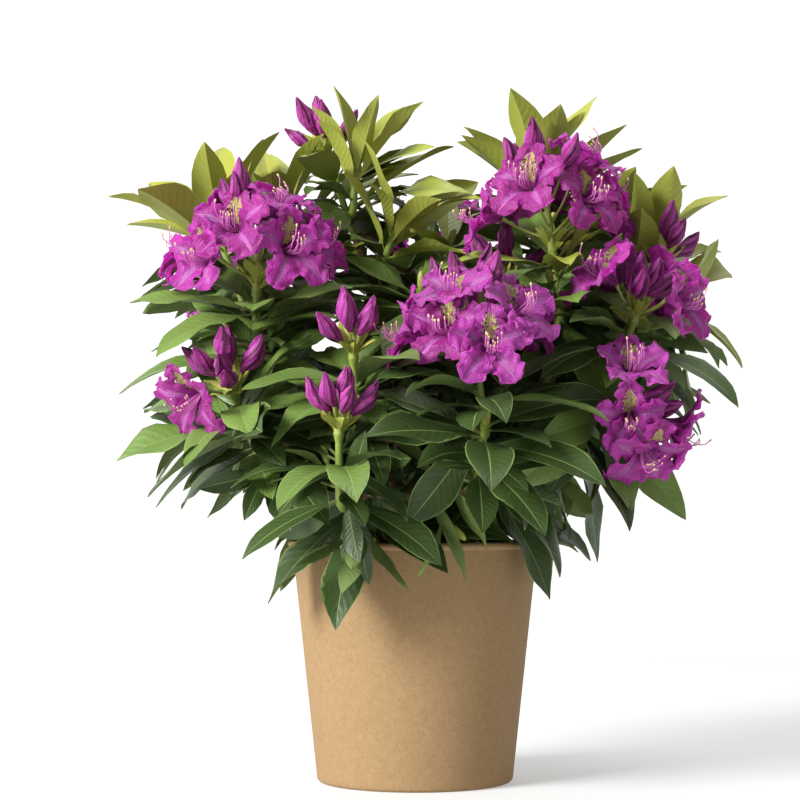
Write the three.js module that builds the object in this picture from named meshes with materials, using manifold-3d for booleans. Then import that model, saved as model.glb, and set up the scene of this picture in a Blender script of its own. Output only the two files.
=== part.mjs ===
// A rhododendron in bloom, standing in its paperboard tub. Millimetres, +Z up, +Y away from the
// front, origin at the middle of the tub's underside.
import * as THREE from "three";
import { mergeVertices } from "three/addons/utils/BufferGeometryUtils.js";
import Module from "manifold-3d";

const wasm = await Module();
wasm.setup();

// ---- Driving sizes -------------------------------------------------------------------------

const TUB = {
  height: 175.5,
  footRadius: 71.9,
  footRound: 3.5,
  wallTopRadius: 90.4,
  wall: 1.5,
  floor: 2.2,
  lipRadius: 2.4,
  segments: 32,
};
const SOIL = { top: 160, sunk: 155, flatRadius: 26, gap: 0.35 };
const TRUNK = {
  foot: [4, 6],
  fork: [0, 0, 221],
  flareRadius: 15,
  radius: 10.5,
  forkRadius: 8.5,
  sides: 9,
  steps: 7,
};
const BOUGH = { rootRadius: 4.6, tipRadius: 3.3, sides: 5, steps: 5 };
const TWIG = {
  rootRadius: 3.2,
  tipRadius: 2.6,
  sides: 4,
  straight: 46, // at its tip, where it carries its leaves
  straightShare: 0.6, // of a short twig
  leave: [0.35, 0.6], // where the other twigs of a mass leave its first
};
const CLEAR = 0.3; // between a limb and what carries it
const RACHIS = { rootRadius: 3.6, tipRadius: 2.6 };
const FLOWER = { across: 57, deep: 23, throat: 12, sides: 5 };
const BUD = { length: 35, radius: 7, belly: 0.46, sides: 4 };
const STALK_RADIUS = 1.2;
const SUNK = 1.1; // from a twig's middle line to where a leaf or a flower's stalk starts
const GOLDEN_DEG = 137.508;
const LEAF = {
  stalkHalf: 1.1, // half the width of the leaf's stalk
  thick: 0.014, // share of the length
  apart: 2.4, // between neighbours of a whorl, along the twig
  bare: 9, // at the foot of each twig
  bends: 8, // steps that the midrib is worked out in
  rings: [[0, 0], [1, 0], [4.4, 1.16], [8, 0]], // step along the midrib, share of the width
  room: [[1, 0.1], [4.4, 1.28], [8, 0.1]], // the same for its free space
  elbow: 1, // free space kept round a leaf
};

// Kinds of leaf whorl: the lean from the shoot's own axis, in degrees, the leaves' length, their
// width as a share of it, how far their weight bends them and how far they curl back, in radians.
const WHORLS = {
  young: { lean: [8, 34], length: [58, 86], slim: [0.27, 0.34], sag: 0.05, curl: [0.1, 0.5] },
  rising: { lean: [24, 54], length: [82, 106], slim: [0.29, 0.36], sag: 0.12, curl: [0.05, 0.45] },
  mature: { lean: [58, 92], length: [72, 98], slim: [0.3, 0.37], sag: 0.35, curl: [0, 0.4] },
  spread: { lean: [48, 86], length: [86, 112], slim: [0.28, 0.34], sag: 0.3, curl: [0, 0.3] },
  old: { lean: [76, 108], length: [76, 106], slim: [0.3, 0.36], sag: 0.5, curl: [0, 0.3] },
  hanging: { lean: [92, 118], length: [94, 120], slim: [0.28, 0.34], sag: 0.5, curl: [0, 0.3] },
};

// Kinds of truss: the length of the stem in its middle, its flowers' stalks and how far they lean
// from that stem, in degrees, each from its foot to its top, and the share of a stalk a bud has.
const TRUSSES = {
  full: { rachis: 34, stalk: [38, 24], lean: [60, 8], closed: 1 },
  tall: { rachis: 38, stalk: [38, 26], lean: [62, 8], closed: 1 },
  half: { rachis: 12, stalk: [28, 18], lean: [60, 8], closed: 0.5 },
  tight: { rachis: 12, stalk: [12, 8], lean: [48, 6], closed: 1 },
};

// What a shoot carries: open flowers and buds in its truss, and its whorls as kind, number of
// leaves and distance below the tip.
const HABITS = {
  truss: { truss: "full", open: 8, buds: 5, whorls: [["mature", 8, 7], ["old", 3, 44]] },
  budded: { truss: "tight", open: 0, buds: 6, whorls: [["mature", 7, 12], ["old", 3, 44]] },
  flush: { open: 0, buds: 0, whorls: [["young", 6, 2], ["rising", 3, 22], ["old", 2, 48]] },
  rising: { open: 0, buds: 0, whorls: [["rising", 8, 2], ["mature", 3, 34]] },
  leafy: { open: 0, buds: 0, whorls: [["mature", 8, 2], ["old", 3, 36]] },
  skirt: { open: 0, buds: 0, whorls: [["spread", 7, 2], ["old", 3, 28]] },
  foot: { open: 0, buds: 0, whorls: [["hanging", 6, 2], ["hanging", 3, 26]] },
};
const REACHING = [["young", 4, 6], ["rising", 8, 16], ["old", 2, 46]];
const OPENING = { truss: "half", whorls: [["old", 8, 7], ["old", 3, 44]] };

// Each bough: what it grows from, how far up that it leaves, and its tip.
const BOUGHS = {
  bough_left: { on: "trunk", at: 0.79, tip: [-66, -26, 290] },
  bough_left_low: { on: "bough_left", at: 0.42, tip: [-68, -60, 246] },
  bough_top: { on: "trunk", at: 0.99, tip: [-24, 16, 340] },
  bough_right: { on: "trunk", at: 0.76, tip: [70, -14, 314] },
  bough_right_out: { on: "bough_right", at: 0.45, tip: [102, -34, 282] },
  bough_right_low: { on: "trunk", at: 0.5, tip: [84, -58, 238] },
  bough_front: { on: "trunk", at: 0.68, tip: [18, -72, 260] },
  bough_front_low: { on: "trunk", at: 0.45, tip: [-16, -84, 218] },
  bough_back_left: { on: "trunk", at: 0.7, tip: [-66, 48, 282] },
  bough_back_top: { on: "bough_back_left", at: 0.35, tip: [4, 66, 332] },
  bough_back_right: { on: "trunk", at: 0.64, tip: [80, 46, 290] },
  bough_back_low: { on: "trunk", at: 0.54, tip: [6, 82, 240] },
};

// Each mass of foliage: what its stem grows on from, and its shoots, the first at the end of that
// stem and the others on twigs from it. A shoot is its habit, its tip, the way it points, the
// turn of its leaves in degrees, and what differs from the habit.
const MASSES = {
  foliage_left_top: {
    on: "bough_left",
    shoots: [
      ["truss", [-112, -78, 353], [0.04, -0.3, 0.95], 32, { truss: "tall" }],
      ["rising", [-146, 0, 402], [-0.35, 0, 0.94], 10],
      ["flush", [-104, 16, 418], [-0.1, -0.1, 1], 70],
    ],
  },
  foliage_left_middle: {
    on: "bough_left_low",
    shoots: [
      ["truss", [-126, -100, 279], [-0.3, -0.45, 0.84], 222, { truss: "half", open: 1, buds: 6 }],
      ["skirt", [-120, -84, 262], [-0.75, -0.3, 0.6], 0],
    ],
  },
  foliage_top: {
    on: "bough_top",
    shoots: [
      ["budded", [-64, 6, 460], [-0.3, -0.2, 0.93], 20, { whorls: [["mature", 5, 16], ["old", 3, 40]] }],
      ["flush", [-14, -14, 408], [0.3, -0.35, 0.9], 0],
      ["leafy", [26, 12, 396], [0.3, -0.15, 0.95], 30],
      ["flush", [-44, -12, 450], [0.05, -0.05, 1], 55, { whorls: [["young", 5, 2], ["rising", 7, 14]] }],
    ],
  },
  foliage_right_top: {
    on: "bough_right",
    shoots: [
      ["truss", [98, -60, 384], [-0.14, -0.24, 0.97], 36, { truss: "tall", open: 9, buds: 4 }],
      ["flush", [94, 8, 446], [0, 0, 1], 15, { whorls: [["young", 5, 4], ...REACHING.slice(1)] }],
      ["rising", [128, 40, 402], [0.1, 0.2, 0.95], 50],
      ["budded", [68, -18, 362], [-0.15, -0.4, 0.9], 0, { buds: 4 }],
    ],
  },
  foliage_right: {
    on: "bough_right_out",
    shoots: [
      ["truss", [154, -76, 332], [0.28, -0.3, 0.9], 60, { ...OPENING, open: 3, buds: 5 }],
      ["budded", [178, -20, 374], [0.2, -0.2, 0.96], 35, { buds: 4, whorls: [["old", 3, 30]] }],
      ["flush", [172, 10, 388], [0.45, -0.1, 0.89], 0, { whorls: [["young", 5, 4], ["rising", 8, 14]] }],
      ["leafy", [190, -18, 336], [0.9, -0.1, 0.2], 20],
      ["rising", [194, 6, 368], [0.7, -0.15, 0.7], 30],
    ],
  },
  foliage_right_low: {
    on: "bough_right_low",
    shoots: [
      ["truss", [142, -90, 266], [0.6, -0.75, 0.12], 60, { truss: "half", open: 5, buds: 3 }],
      ["skirt", [122, -66, 272], [0.6, -0.3, 0.75], 20],
    ],
  },
  foliage_centre: {
    on: "bough_front",
    shoots: [
      ["truss", [42, -126, 293], [-0.14, -0.16, 0.97], 44, { open: 9 }],
      ["budded", [-43, -122, 303], [-0.05, -0.35, 0.93], 60],
      ["leafy", [4, -62, 356], [0, -0.25, 0.95], 40],
    ],
  },
  foliage_front_low: {
    on: "bough_front_low",
    shoots: [
      ["budded", [-52, -150, 250], [0, -0.3, 0.95], 20],
      ["skirt", [47, -136, 257], [0.1, -0.6, 0.75], 10],
    ],
  },
  foliage_foot_left: {
    on: "trunk",
    at: 0.26,
    shoots: [["foot", [-38, -72, 212], [-0.4, -0.55, 0.75], -34]],
  },
  foliage_foot_right: { on: "trunk", at: 0.32, shoots: [["foot", [56, -56, 232], [0.4, -0.5, 0.8], 30]] },
  foliage_back_left: {
    on: "bough_back_left",
    shoots: [
      ["truss", [-112, 84, 332], [-0.35, 0.5, 0.8], 10, { open: 6, buds: 3 }],
      ["leafy", [-146, 48, 284], [-0.7, 0.2, 0.7], 60],
      ["skirt", [-108, 92, 262], [-0.5, 0.5, 0.7], 30],
    ],
  },
  foliage_back_top: {
    on: "bough_back_top",
    shoots: [
      ["truss", [26, 88, 374], [0.05, 0.5, 0.86], 30, { open: 6, buds: 3 }],
      ["flush", [-40, 68, 400], [-0.15, 0.1, 1], 0],
      ["leafy", [66, 72, 388], [0.3, 0.3, 0.9], 10],
    ],
  },
  foliage_back_right: {
    on: "bough_back_right",
    shoots: [
      ["truss", [136, 88, 336], [0.35, 0.5, 0.8], 50, { open: 6, buds: 3 }],
      ["leafy", [154, 44, 312], [0.7, 0.2, 0.7], 25],
      ["flush", [126, 74, 366], [0.3, 0.2, 1], 0],
    ],
  },
  foliage_back_low: {
    on: "bough_back_low",
    shoots: [
      ["truss", [10, 138, 298], [0, 0.6, 0.8], 0, { open: 6, buds: 3 }],
      ["budded", [-62, 138, 276], [-0.15, 0.5, 0.85], 40, { buds: 5 }],
      ["skirt", [76, 132, 268], [0.3, 0.5, 0.8], 20],
    ],
  },
  foliage_foot_back_left: {
    on: "trunk",
    at: 0.38,
    shoots: [["foot", [-46, 54, 226], [-0.4, 0.5, 0.8], 15]],
  },
  foliage_foot_back_right: {
    on: "trunk",
    at: 0.34,
    shoots: [["foot", [48, 56, 226], [0.4, 0.5, 0.8], 45]],
  },
};

// Where a leaf or a flower has no room it is tried again, turned and leant by these degrees and
// shortened: a leaf in its length, and a flower in its width.
const TRIES = [
  [0, 0, 1],
  [15, -8, 1],
  [-15, 8, 1],
  [30, -14, 0.95],
  [-30, 14, 0.95],
  [8, -26, 0.85],
  [-8, 24, 0.85],
  [22, 0, 0.72],
];

const COLOURS = {
  tub: { color: 0xc59a68, roughness: 0.85, metalness: 0 },
  soil: { color: 0x35271c, roughness: 1, metalness: 0 },
  bark: { color: 0x6b5a3c, roughness: 0.9, metalness: 0 },
  foliage: { color: 0x3c5a26, roughness: 0.5, metalness: 0 },
};

// ---- Small tools ---------------------------------------------------------------------------

const UP = new THREE.Vector3(0, 0, 1);
const AWAY = new THREE.Vector3(0, 1, 0);
const vector = (p) => new THREE.Vector3(...p);
const mix = (a, b, share) => a + (b - a) * share;
const along = (p, way, distance) => p.clone().addScaledVector(way, distance);

// A repeatable source of numbers from 0 to 1 (mulberry32).
function source(seed) {
  let state = seed >>> 0;
  return () => {
    state = (state + 0x6d2b79f5) >>> 0;
    let t = Math.imul(state ^ (state >>> 15), state | 1);
    t ^= t + Math.imul(t ^ (t >>> 7), t | 61);
    return ((t ^ (t >>> 14)) >>> 0) / 4294967296;
  };
}

// The two directions square to an axis: the first roughly to the right, the second away or up.
function sidesOf(axis) {
  const right = new THREE.Vector3().crossVectors(AWAY, axis).normalize();
  return [right, new THREE.Vector3().crossVectors(axis, right)];
}

// The direction that leans from an axis by one angle and is turned round it by another.
function leaning(axis, leanDeg, turnDeg) {
  const [right, away] = sidesOf(axis);
  const lean = THREE.MathUtils.degToRad(leanDeg);
  const turn = THREE.MathUtils.degToRad(turnDeg);
  return new THREE.Vector3()
    .addScaledVector(axis, Math.cos(lean))
    .addScaledVector(right, Math.sin(lean) * Math.cos(turn))
    .addScaledVector(away, Math.sin(lean) * Math.sin(turn));
}

// A closed geometry as a solid that can be cut and joined.
function solid(geometry) {
  const bare = geometry.index ? geometry.toNonIndexed() : geometry.clone();
  bare.deleteAttribute("normal");
  bare.deleteAttribute("uv");
  const merged = mergeVertices(bare, 1e-4);
  return new wasm.Manifold(
    new wasm.Mesh({
      numProp: 3,
      vertProperties: merged.attributes.position.array,
      triVerts: new Uint32Array(merged.index.array),
    }),
  );
}

// Moves each vertex of a geometry to where place(x, y, z) puts it.
function reshaped(geometry, place) {
  const at = geometry.attributes.position;
  for (let i = 0; i < at.count; i += 1) {
    const p = place(at.getX(i), at.getY(i), at.getZ(i));
    at.setXYZ(i, p.x, p.y, p.z);
  }
  return geometry;
}

// The single largest body of a solid.
function whole(made) {
  return made.decompose().sort((a, b) => b.volume() - a.volume())[0];
}

function mesh(name, made, colour) {
  const cut = made.getMesh();
  const geometry = new THREE.BufferGeometry();
  const points = new Float32Array(cut.numVert * 3);
  for (let i = 0; i < cut.numVert; i += 1) {
    points.set(cut.vertProperties.subarray(i * cut.numProp, i * cut.numProp + 3), i * 3);
  }
  geometry.setAttribute("position", new THREE.BufferAttribute(points, 3));
  geometry.setIndex(new THREE.BufferAttribute(new Uint32Array(cut.triVerts), 1));
  geometry.computeVertexNormals();
  const found = new THREE.Mesh(geometry, new THREE.MeshStandardMaterial(COLOURS[colour]));
  found.name = name;
  return found;
}

// ---- Limbs ---------------------------------------------------------------------------------

// The line from one point to another that leaves and arrives in given directions.
function limbLine(start, leave, end, arrive) {
  const reach = start.distanceTo(end) * 0.38;
  return new THREE.CubicBezierCurve3(start, along(start, leave, reach), along(end, arrive, -reach), end);
}

// A twig's line, which bends only before its last and straight stretch.
function twigLine(start, leave, end, arrive) {
  const reach = Math.min(TWIG.straight, start.distanceTo(end) * TWIG.straightShare);
  const elbow = along(end, arrive, -reach);
  const line = new THREE.CurvePath();
  line.add(limbLine(start, leave, elbow, arrive));
  line.add(new THREE.LineCurve3(elbow, end));
  line.rings = [0, 1 - reach / line.getLength(), 1];
  return line;
}

// The way that a limb's ring faces: at an end along the line, and between ends halfway between
// the straights on either side of it.
function mitre(line, rings, ring) {
  if (ring === 0 || ring === rings.length - 1) return line.getTangent(rings[ring]);
  const [before, here, after] = [ring - 1, ring, ring + 1].map((i) => line.getPoint(rings[i]));
  return here.clone().sub(before).normalize().add(after.sub(here).normalize()).normalize();
}

// A tapering limb along a line: a cylinder whose rings stand at given shares of it.
function limbSolid(line, radiusAt, sides, rings) {
  const body = new THREE.CylinderGeometry(1, 1, 1, sides, rings.length - 1);
  const bend = new THREE.Vector3().crossVectors(line.getTangent(0), line.getTangent(1));
  const level = bend.length() > 0.02 ? bend.normalize() : sidesOf(line.getTangent(0))[0];
  return solid(
    reshaped(body, (x, y, z) => {
      const ring = Math.round((y + 0.5) * (rings.length - 1));
      const share = rings[ring];
      const ahead = mitre(line, rings, ring);
      const right = level.clone().addScaledVector(ahead, -level.dot(ahead)).normalize();
      const square = new THREE.Vector3().crossVectors(right, ahead);
      const radius = radiusAt(share);
      return along(along(line.getPoint(share), right, x * radius), square, z * radius);
    }),
  );
}

const evenly = (steps) => Array.from({ length: steps + 1 }, (_, i) => i / steps);
const tapering = (root, tip) => (share) => mix(root, tip, share);

// The middle of a limb's solid, which runs straight from ring to ring.
function middleAt(line, share) {
  const next = line.rings.findIndex((ring) => ring >= share);
  const [low, high] = [line.rings[Math.max(0, next - 1)], line.rings[Math.max(1, next)]];
  return line.getPoint(low).lerp(line.getPoint(high), (share - low) / (high - low));
}

function trunkLine() {
  const foot = new THREE.Vector3(...TRUNK.foot, SOIL.top + CLEAR);
  return limbLine(foot, UP, vector(TRUNK.fork), vector(TRUNK.fork).sub(foot).normalize());
}

function trunkRadius(share) {
  const flare = TRUNK.flareRadius - TRUNK.radius;
  return mix(TRUNK.radius, TRUNK.forkRadius, share) + flare * Math.max(0, 1 - share * 5) ** 2;
}

// The way a limb leaves what carries it, and the way it ends.
function limbWays(start, tip) {
  const level = new THREE.Vector3(tip.x - start.x, tip.y - start.y, 0).normalize();
  const leave = level.clone().multiplyScalar(0.75).addScaledVector(UP, 0.66).normalize();
  const arrive = tip.clone().sub(start).normalize().addScaledVector(UP, 0.3).normalize();
  return [leave, arrive];
}

// ---- Leaves and flowers --------------------------------------------------------------------

// Carries a solid from its own frame, with y the way it faces and z its upper side, to its place.
function placed(made, foot, facing, upper) {
  const right = new THREE.Vector3().crossVectors(facing, upper);
  const frame = new THREE.Matrix4().makeBasis(right, facing, upper).setPosition(foot);
  return made.transform(frame.elements);
}

// A leaf's midrib in its own frame, which it bends down in: its points and upward directions.
function midrib(leaf) {
  const down = new THREE.Vector3(0, -leaf.way.dot(UP), -leaf.face.dot(UP));
  const points = [new THREE.Vector3()];
  const ways = [new THREE.Vector3(0, 1, 0)];
  const faces = [new THREE.Vector3(0, 0, 1)];
  for (let i = 0; i < LEAF.bends; i += 1) {
    const share = (2 * i) / LEAF.bends / (LEAF.bends - 1);
    const bent = along(along(ways[i], down, leaf.sag * share), faces[i], -leaf.curl * share);
    const way = bent.normalize();
    points.push(along(points[i], way, leaf.length / LEAF.bends));
    ways.push(way);
    faces.push(new THREE.Vector3(0, -way.z, way.y));
  }
  return { points, faces };
}

// A blade on rings of three points, flat above and keeled below. Extra is free space round it.
function leafSolid(leaf, rings = LEAF.rings, extra = 0) {
  const { points, faces } = midrib(leaf);
  const thick = leaf.length * LEAF.thick;
  const body = new THREE.CylinderGeometry(extra ? 1 : 0, 1, 1, 3, rings.length - 1);
  reshaped(body, (x, y, z) => {
    const [step, share] = rings[Math.round((y + 0.5) * (rings.length - 1))];
    const low = Math.floor(step);
    const middle = points[low].clone();
    if (step > low) middle.lerp(points[low + 1], step - low);
    const half = mix(step < LEAF.bends ? LEAF.stalkHalf : 0, leaf.width / 2, share) + extra;
    const span = Math.abs(x) < 1e-6 ? 0 : Math.sign(x) * half;
    const depth = step < LEAF.bends ? thick : 0;
    const drop = z > 1e-6 ? depth + extra : -extra;
    middle.x = -span;
    return along(middle, faces[low], -drop);
  });
  return placed(solid(body), leaf.root, leaf.way, leaf.face);
}

// A floret from its foot on the rachis: a thin stalk that widens, for an open flower, into a
// funnel with a corner for each lobe, and for a bud into a spindle.
function floretSolid(floret) {
  const { open, stalk, size } = floret;
  const stalkEnd = [STALK_RADIUS, stalk];
  const mouth = [
    [(FLOWER.across / 2) * size, stalk + FLOWER.deep * size],
    [0, stalk + FLOWER.throat * size],
  ];
  const spindle = [
    [BUD.radius * size, stalk + BUD.length * BUD.belly * size],
    [0, stalk + BUD.length * size],
  ];
  const outline = [[0, 0], [STALK_RADIUS, 0], stalkEnd, ...(open ? mouth : spindle)];
  const points = outline.map(([x, y]) => new THREE.Vector2(x, y));
  const turned = solid(new THREE.LatheGeometry(points, open ? FLOWER.sides : BUD.sides));
  const level = Math.abs(floret.way.dot(UP)) > 0.95 ? AWAY : UP;
  const upper = level.clone().addScaledVector(floret.way, -level.dot(floret.way)).normalize();
  return placed(turned, floret.foot, floret.way, upper);
}

// The same floret's free part alone, past the crowd of stalks at the rachis.
function floretBody(floret) {
  const started = floret.stalk * 0.55;
  const foot = along(floret.foot, floret.way, started);
  return floretSolid({ ...floret, foot, stalk: floret.stalk - started });
}

// The florets that a truss would carry, from the open ones at its foot to the buds at its top.
function floretsOf(shoot) {
  const { open, buds, truss } = shoot.habit;
  const random = source(shoot.seed * 1009 + 5);
  const rule = TRUSSES[truss];
  const found = [];
  for (let i = 0; i < open + buds; i += 1) {
    const rise = (i + 0.3) / (open + buds - 0.4);
    const lean = mix(...rule.lean, rise ** 1.05) + (random() * 2 - 1) * 6;
    const turn = shoot.turn + i * GOLDEN_DEG + (random() * 2 - 1) * 7;
    const up = rule.rachis * (0.1 + 0.85 * rise);
    const stalk = mix(...rule.stalk, rise) * (i < open ? 1 : rule.closed);
    found.push({ open: i < open, up, lean, turn, stalk, size: mix(0.94, 1.06, random()) });
  }
  return found;
}

// One try of a floret: where it stands on the rachis, and its direction.
function floretAt(shoot, wish, [turnBy, leanBy, smaller]) {
  const way = leaning(shoot.aim, wish.lean + leanBy, wish.turn + turnBy);
  return {
    open: wish.open,
    foot: along(along(shoot.tip, shoot.aim, wish.up), way, SUNK),
    way,
    stalk: wish.stalk + Math.abs(turnBy) * 0.2,
    size: wish.size * mix(1, smaller, 0.6),
  };
}

// The leaves that a shoot would carry, each as its tries at finding room.
function leavesOf(shoot) {
  const found = [];
  shoot.habit.whorls.forEach(([kind, count, below], whorl) => {
    const rule = WHORLS[kind];
    for (let k = 0; k < count; k += 1) {
      const random = source(shoot.seed * 7919 + whorl * 613 + k * 31 + 3);
      const turn = shoot.turn + whorl * 27 + (360 * (k + 0.5 * random())) / count;
      const lean = mix(...rule.lean, random());
      const length = mix(...rule.length, random());
      const slim = mix(...rule.slim, random());
      const curl = mix(...rule.curl, random());
      const back = below + k * LEAF.apart;
      const onTwig = back < shoot.twigLength - LEAF.bare;
      if (onTwig) found.push({ kind, turn, lean, length, slim, curl, sag: rule.sag, back });
    }
  });
  return found;
}

// One try of a leaf: where its midrib starts, its direction and the way its upper side faces.
function leafAt(shoot, wish, [turnBy, leanBy, shorter]) {
  const share = 1 - wish.back / shoot.twigLength;
  const root = middleAt(shoot.line, share);
  const axis = shoot.line.getTangent(share);
  const lean = wish.lean + leanBy;
  const turn = wish.turn + turnBy;
  const length = wish.length * shorter;
  const way = leaning(axis, lean, turn);
  return {
    root: along(root, way, SUNK),
    way,
    face: leaning(axis, lean - 90, turn),
    length,
    width: length * wish.slim,
    sag: wish.sag,
    curl: wish.curl,
  };
}

// ---- Tub and soil --------------------------------------------------------------------------

// The tub's outer radius at a height, on the straight of its wall.
function wallRadius(height) {
  const share = (height - TUB.footRound) / (TUB.height - TUB.lipRadius - TUB.footRound);
  return mix(TUB.footRadius, TUB.wallTopRadius, share);
}

function tubSolid() {
  const lipMiddle = TUB.height - TUB.lipRadius;
  const lipCentre = TUB.wallTopRadius + TUB.lipRadius - TUB.wall;
  const outline = [[0, 0], [TUB.footRadius - TUB.footRound, 0]];
  outline.push([TUB.footRadius - TUB.footRound * 0.29, TUB.footRound * 0.29]);
  outline.push([TUB.footRadius, TUB.footRound]);
  outline.push([wallRadius(lipMiddle - TUB.lipRadius), lipMiddle - TUB.lipRadius]);
  for (let turn = -45; turn <= 180; turn += 75) {
    const angle = THREE.MathUtils.degToRad(turn);
    outline.push([
      lipCentre + TUB.lipRadius * Math.cos(angle),
      lipMiddle + TUB.lipRadius * Math.sin(angle),
    ]);
  }
  outline.push([wallRadius(TUB.floor) - TUB.wall, TUB.floor], [0, TUB.floor]);
  const points = outline.map(([x, y]) => new THREE.Vector2(x, y));
  const turned = new THREE.LatheGeometry(points, TUB.segments).rotateX(Math.PI / 2);
  return solid(turned);
}

function soilSolid() {
  const inside = (height) => wallRadius(height) - TUB.wall - SOIL.gap - TUB.footRound * 0.05;
  const outline = [
    [0, TUB.floor + SOIL.gap],
    [inside(TUB.floor + SOIL.gap), TUB.floor + SOIL.gap],
    [inside(SOIL.sunk), SOIL.sunk],
    [SOIL.flatRadius, SOIL.top],
    [0, SOIL.top],
  ].map(([x, y]) => new THREE.Vector2(x, y));
  return solid(new THREE.LatheGeometry(outline, TUB.segments).rotateX(Math.PI / 2));
}

// ---- Building ------------------------------------------------------------------------------

// Limbs by name, each with its line, its radius, its sides and rings, and its end direction.
const limbs = {
  trunk: { line: trunkLine(), radiusAt: trunkRadius, sides: TRUNK.sides, rings: evenly(TRUNK.steps) },
};

// A limb cut clear of another, such as the one whose middle line it starts on.
function cutClear(made, carrier) {
  const { line, radiusAt, sides, rings } = limbs[carrier];
  const wider = limbSolid(line, (share) => radiusAt(share) + CLEAR, sides, rings);
  return whole(made.subtract(wider));
}

const parts = [];
const taken = []; // the solids in place, each with the box that holds it

function take(made, owner) {
  taken.push({ made, owner, box: made.boundingBox() });
}

function boxesMeet(a, b) {
  return [0, 1, 2].every((i) => a.min[i] <= b.max[i] && b.min[i] <= a.max[i]);
}

function hasRoom(made, owner) {
  const box = made.boundingBox();
  return taken.every(
    (other) =>
      other.owner === owner || !boxesMeet(box, other.box) || made.intersect(other.made).isEmpty(),
  );
}

function addPart(name, made, colour) {
  parts.push(mesh(name, made, colour));
}

const tub = tubSolid();
const soil = soilSolid();
addPart("tub", tub, "tub");
addPart("soil", soil, "soil");
take(tub, "tub");
take(soil, "soil");

const trunk = limbSolid(limbs.trunk.line, trunkRadius, TRUNK.sides, limbs.trunk.rings);
addPart("trunk", trunk, "bark");
take(trunk, "trunk");

for (const [name, bough] of Object.entries(BOUGHS)) {
  const start = limbs[bough.on].line.getPoint(bough.at);
  const tip = vector(bough.tip);
  const [leave, arrive] = limbWays(start, tip);
  const line = limbLine(start, leave, tip, arrive);
  const radiusAt = tapering(BOUGH.rootRadius, BOUGH.tipRadius);
  const rings = evenly(BOUGH.steps);
  const uncut = limbSolid(line, radiusAt, BOUGH.sides, rings);
  const made = Object.keys(limbs).reduce(cutClear, uncut);
  limbs[name] = { line, radiusAt, sides: BOUGH.sides, rings, arrive };
  addPart(name, made, "bark");
  take(made, name);
}

// The shoots of a mass, each with its twig's line, from the mass's table row.
function shootsOf(name, mass, firstSeed) {
  const carrier = limbs[mass.on];
  const fromTrunk = mass.at !== undefined;
  const shoots = [];
  mass.shoots.forEach(([habit, tip, aim, turn, other], i) => {
    const end = vector(tip);
    const way = vector(aim).normalize();
    let start;
    let leave;
    if (i > 0) {
      const at = mix(...TWIG.leave, (i - 1) / Math.max(1, mass.shoots.length - 2));
      start = middleAt(shoots[0].line, at);
      leave = shoots[0].line.getTangent(at).add(end.clone().sub(start).normalize()).normalize();
    } else if (fromTrunk) {
      start = carrier.line.getPoint(mass.at);
      [leave] = limbWays(start, end);
    } else {
      start = along(carrier.line.getPoint(1), carrier.arrive, CLEAR);
      leave = carrier.arrive;
    }
    const line = twigLine(start, leave, end, way);
    shoots.push({
      habit: { ...HABITS[habit], ...other },
      tip: end,
      aim: way,
      turn,
      line,
      twigLength: line.getLength(),
      seed: firstSeed + i,
      name: name + i,
    });
  });
  return shoots;
}

// The twigs and the truss of each shoot come first, and then the leaves, where there is room.
const masses = Object.entries(MASSES).map(([name, mass], i) => ({
  name,
  mass,
  solids: [],
  shoots: shootsOf(name, mass, 1 + i * 10),
}));

for (const { mass, shoots, solids } of masses) {
  for (const shoot of shoots) {
    const radiusAt = tapering(TWIG.rootRadius, TWIG.tipRadius);
    let twig = limbSolid(shoot.line, radiusAt, TWIG.sides, shoot.line.rings);
    if (mass.at !== undefined) twig = cutClear(twig, mass.on);
    solids.push(twig);
    take(twig, shoot.name);
    if (!shoot.habit.truss) continue;
    const { rachis } = TRUSSES[shoot.habit.truss];
    const spine = new THREE.LineCurve3(
      along(shoot.tip, shoot.aim, -2),
      along(shoot.tip, shoot.aim, rachis),
    );
    const stem = limbSolid(spine, tapering(RACHIS.rootRadius, RACHIS.tipRadius), 4, [0, 1]);
    solids.push(stem);
    take(stem, shoot.name);
    for (const wish of floretsOf(shoot)) {
      let floret = null;
      for (const change of TRIES) {
        const tried = floretAt(shoot, wish, change);
        if (!floret && hasRoom(floretBody(tried), shoot.name)) floret = tried;
      }
      if (floret) {
        solids.push(floretSolid(floret));
        take(floretSolid(floret), shoot.name);
        take(floretBody(floret), "");
      }
    }
  }
}

for (const { shoots, solids } of masses) {
  for (const shoot of shoots) {
    for (const wish of leavesOf(shoot)) {
      let leaf = null;
      for (const change of TRIES) {
        const tried = leafAt(shoot, wish, change);
        if (!leaf && hasRoom(leafSolid(tried, LEAF.room, LEAF.elbow), shoot.name)) leaf = leafSolid(tried);
      }
      if (leaf) {
        solids.push(leaf);
        take(leaf, "");
      }
    }
  }
}

for (const { name, solids } of masses) {
  const joined = whole(wasm.Manifold.union(solids));
  addPart(name, joined, "foliage");
}

const plant = new THREE.Group();
plant.name = "rhododendron_in_tub";
plant.add(...parts);

export default plant;
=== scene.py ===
"""A rhododendron in bloom, standing in its paperboard tub.

The plant grows here by the same rule as its solids: a short trunk, boughs, and on each bough shoots
that end in a whorl of leaves and often in a truss of flowers. The rule is then carried on to finer
side shoots, small leaves, stamens and bud scales. Sizes are in millimetres until a mesh is made.
The origin is the middle of the tub's underside, with +Z up and -Y towards the front.
"""

import math

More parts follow.
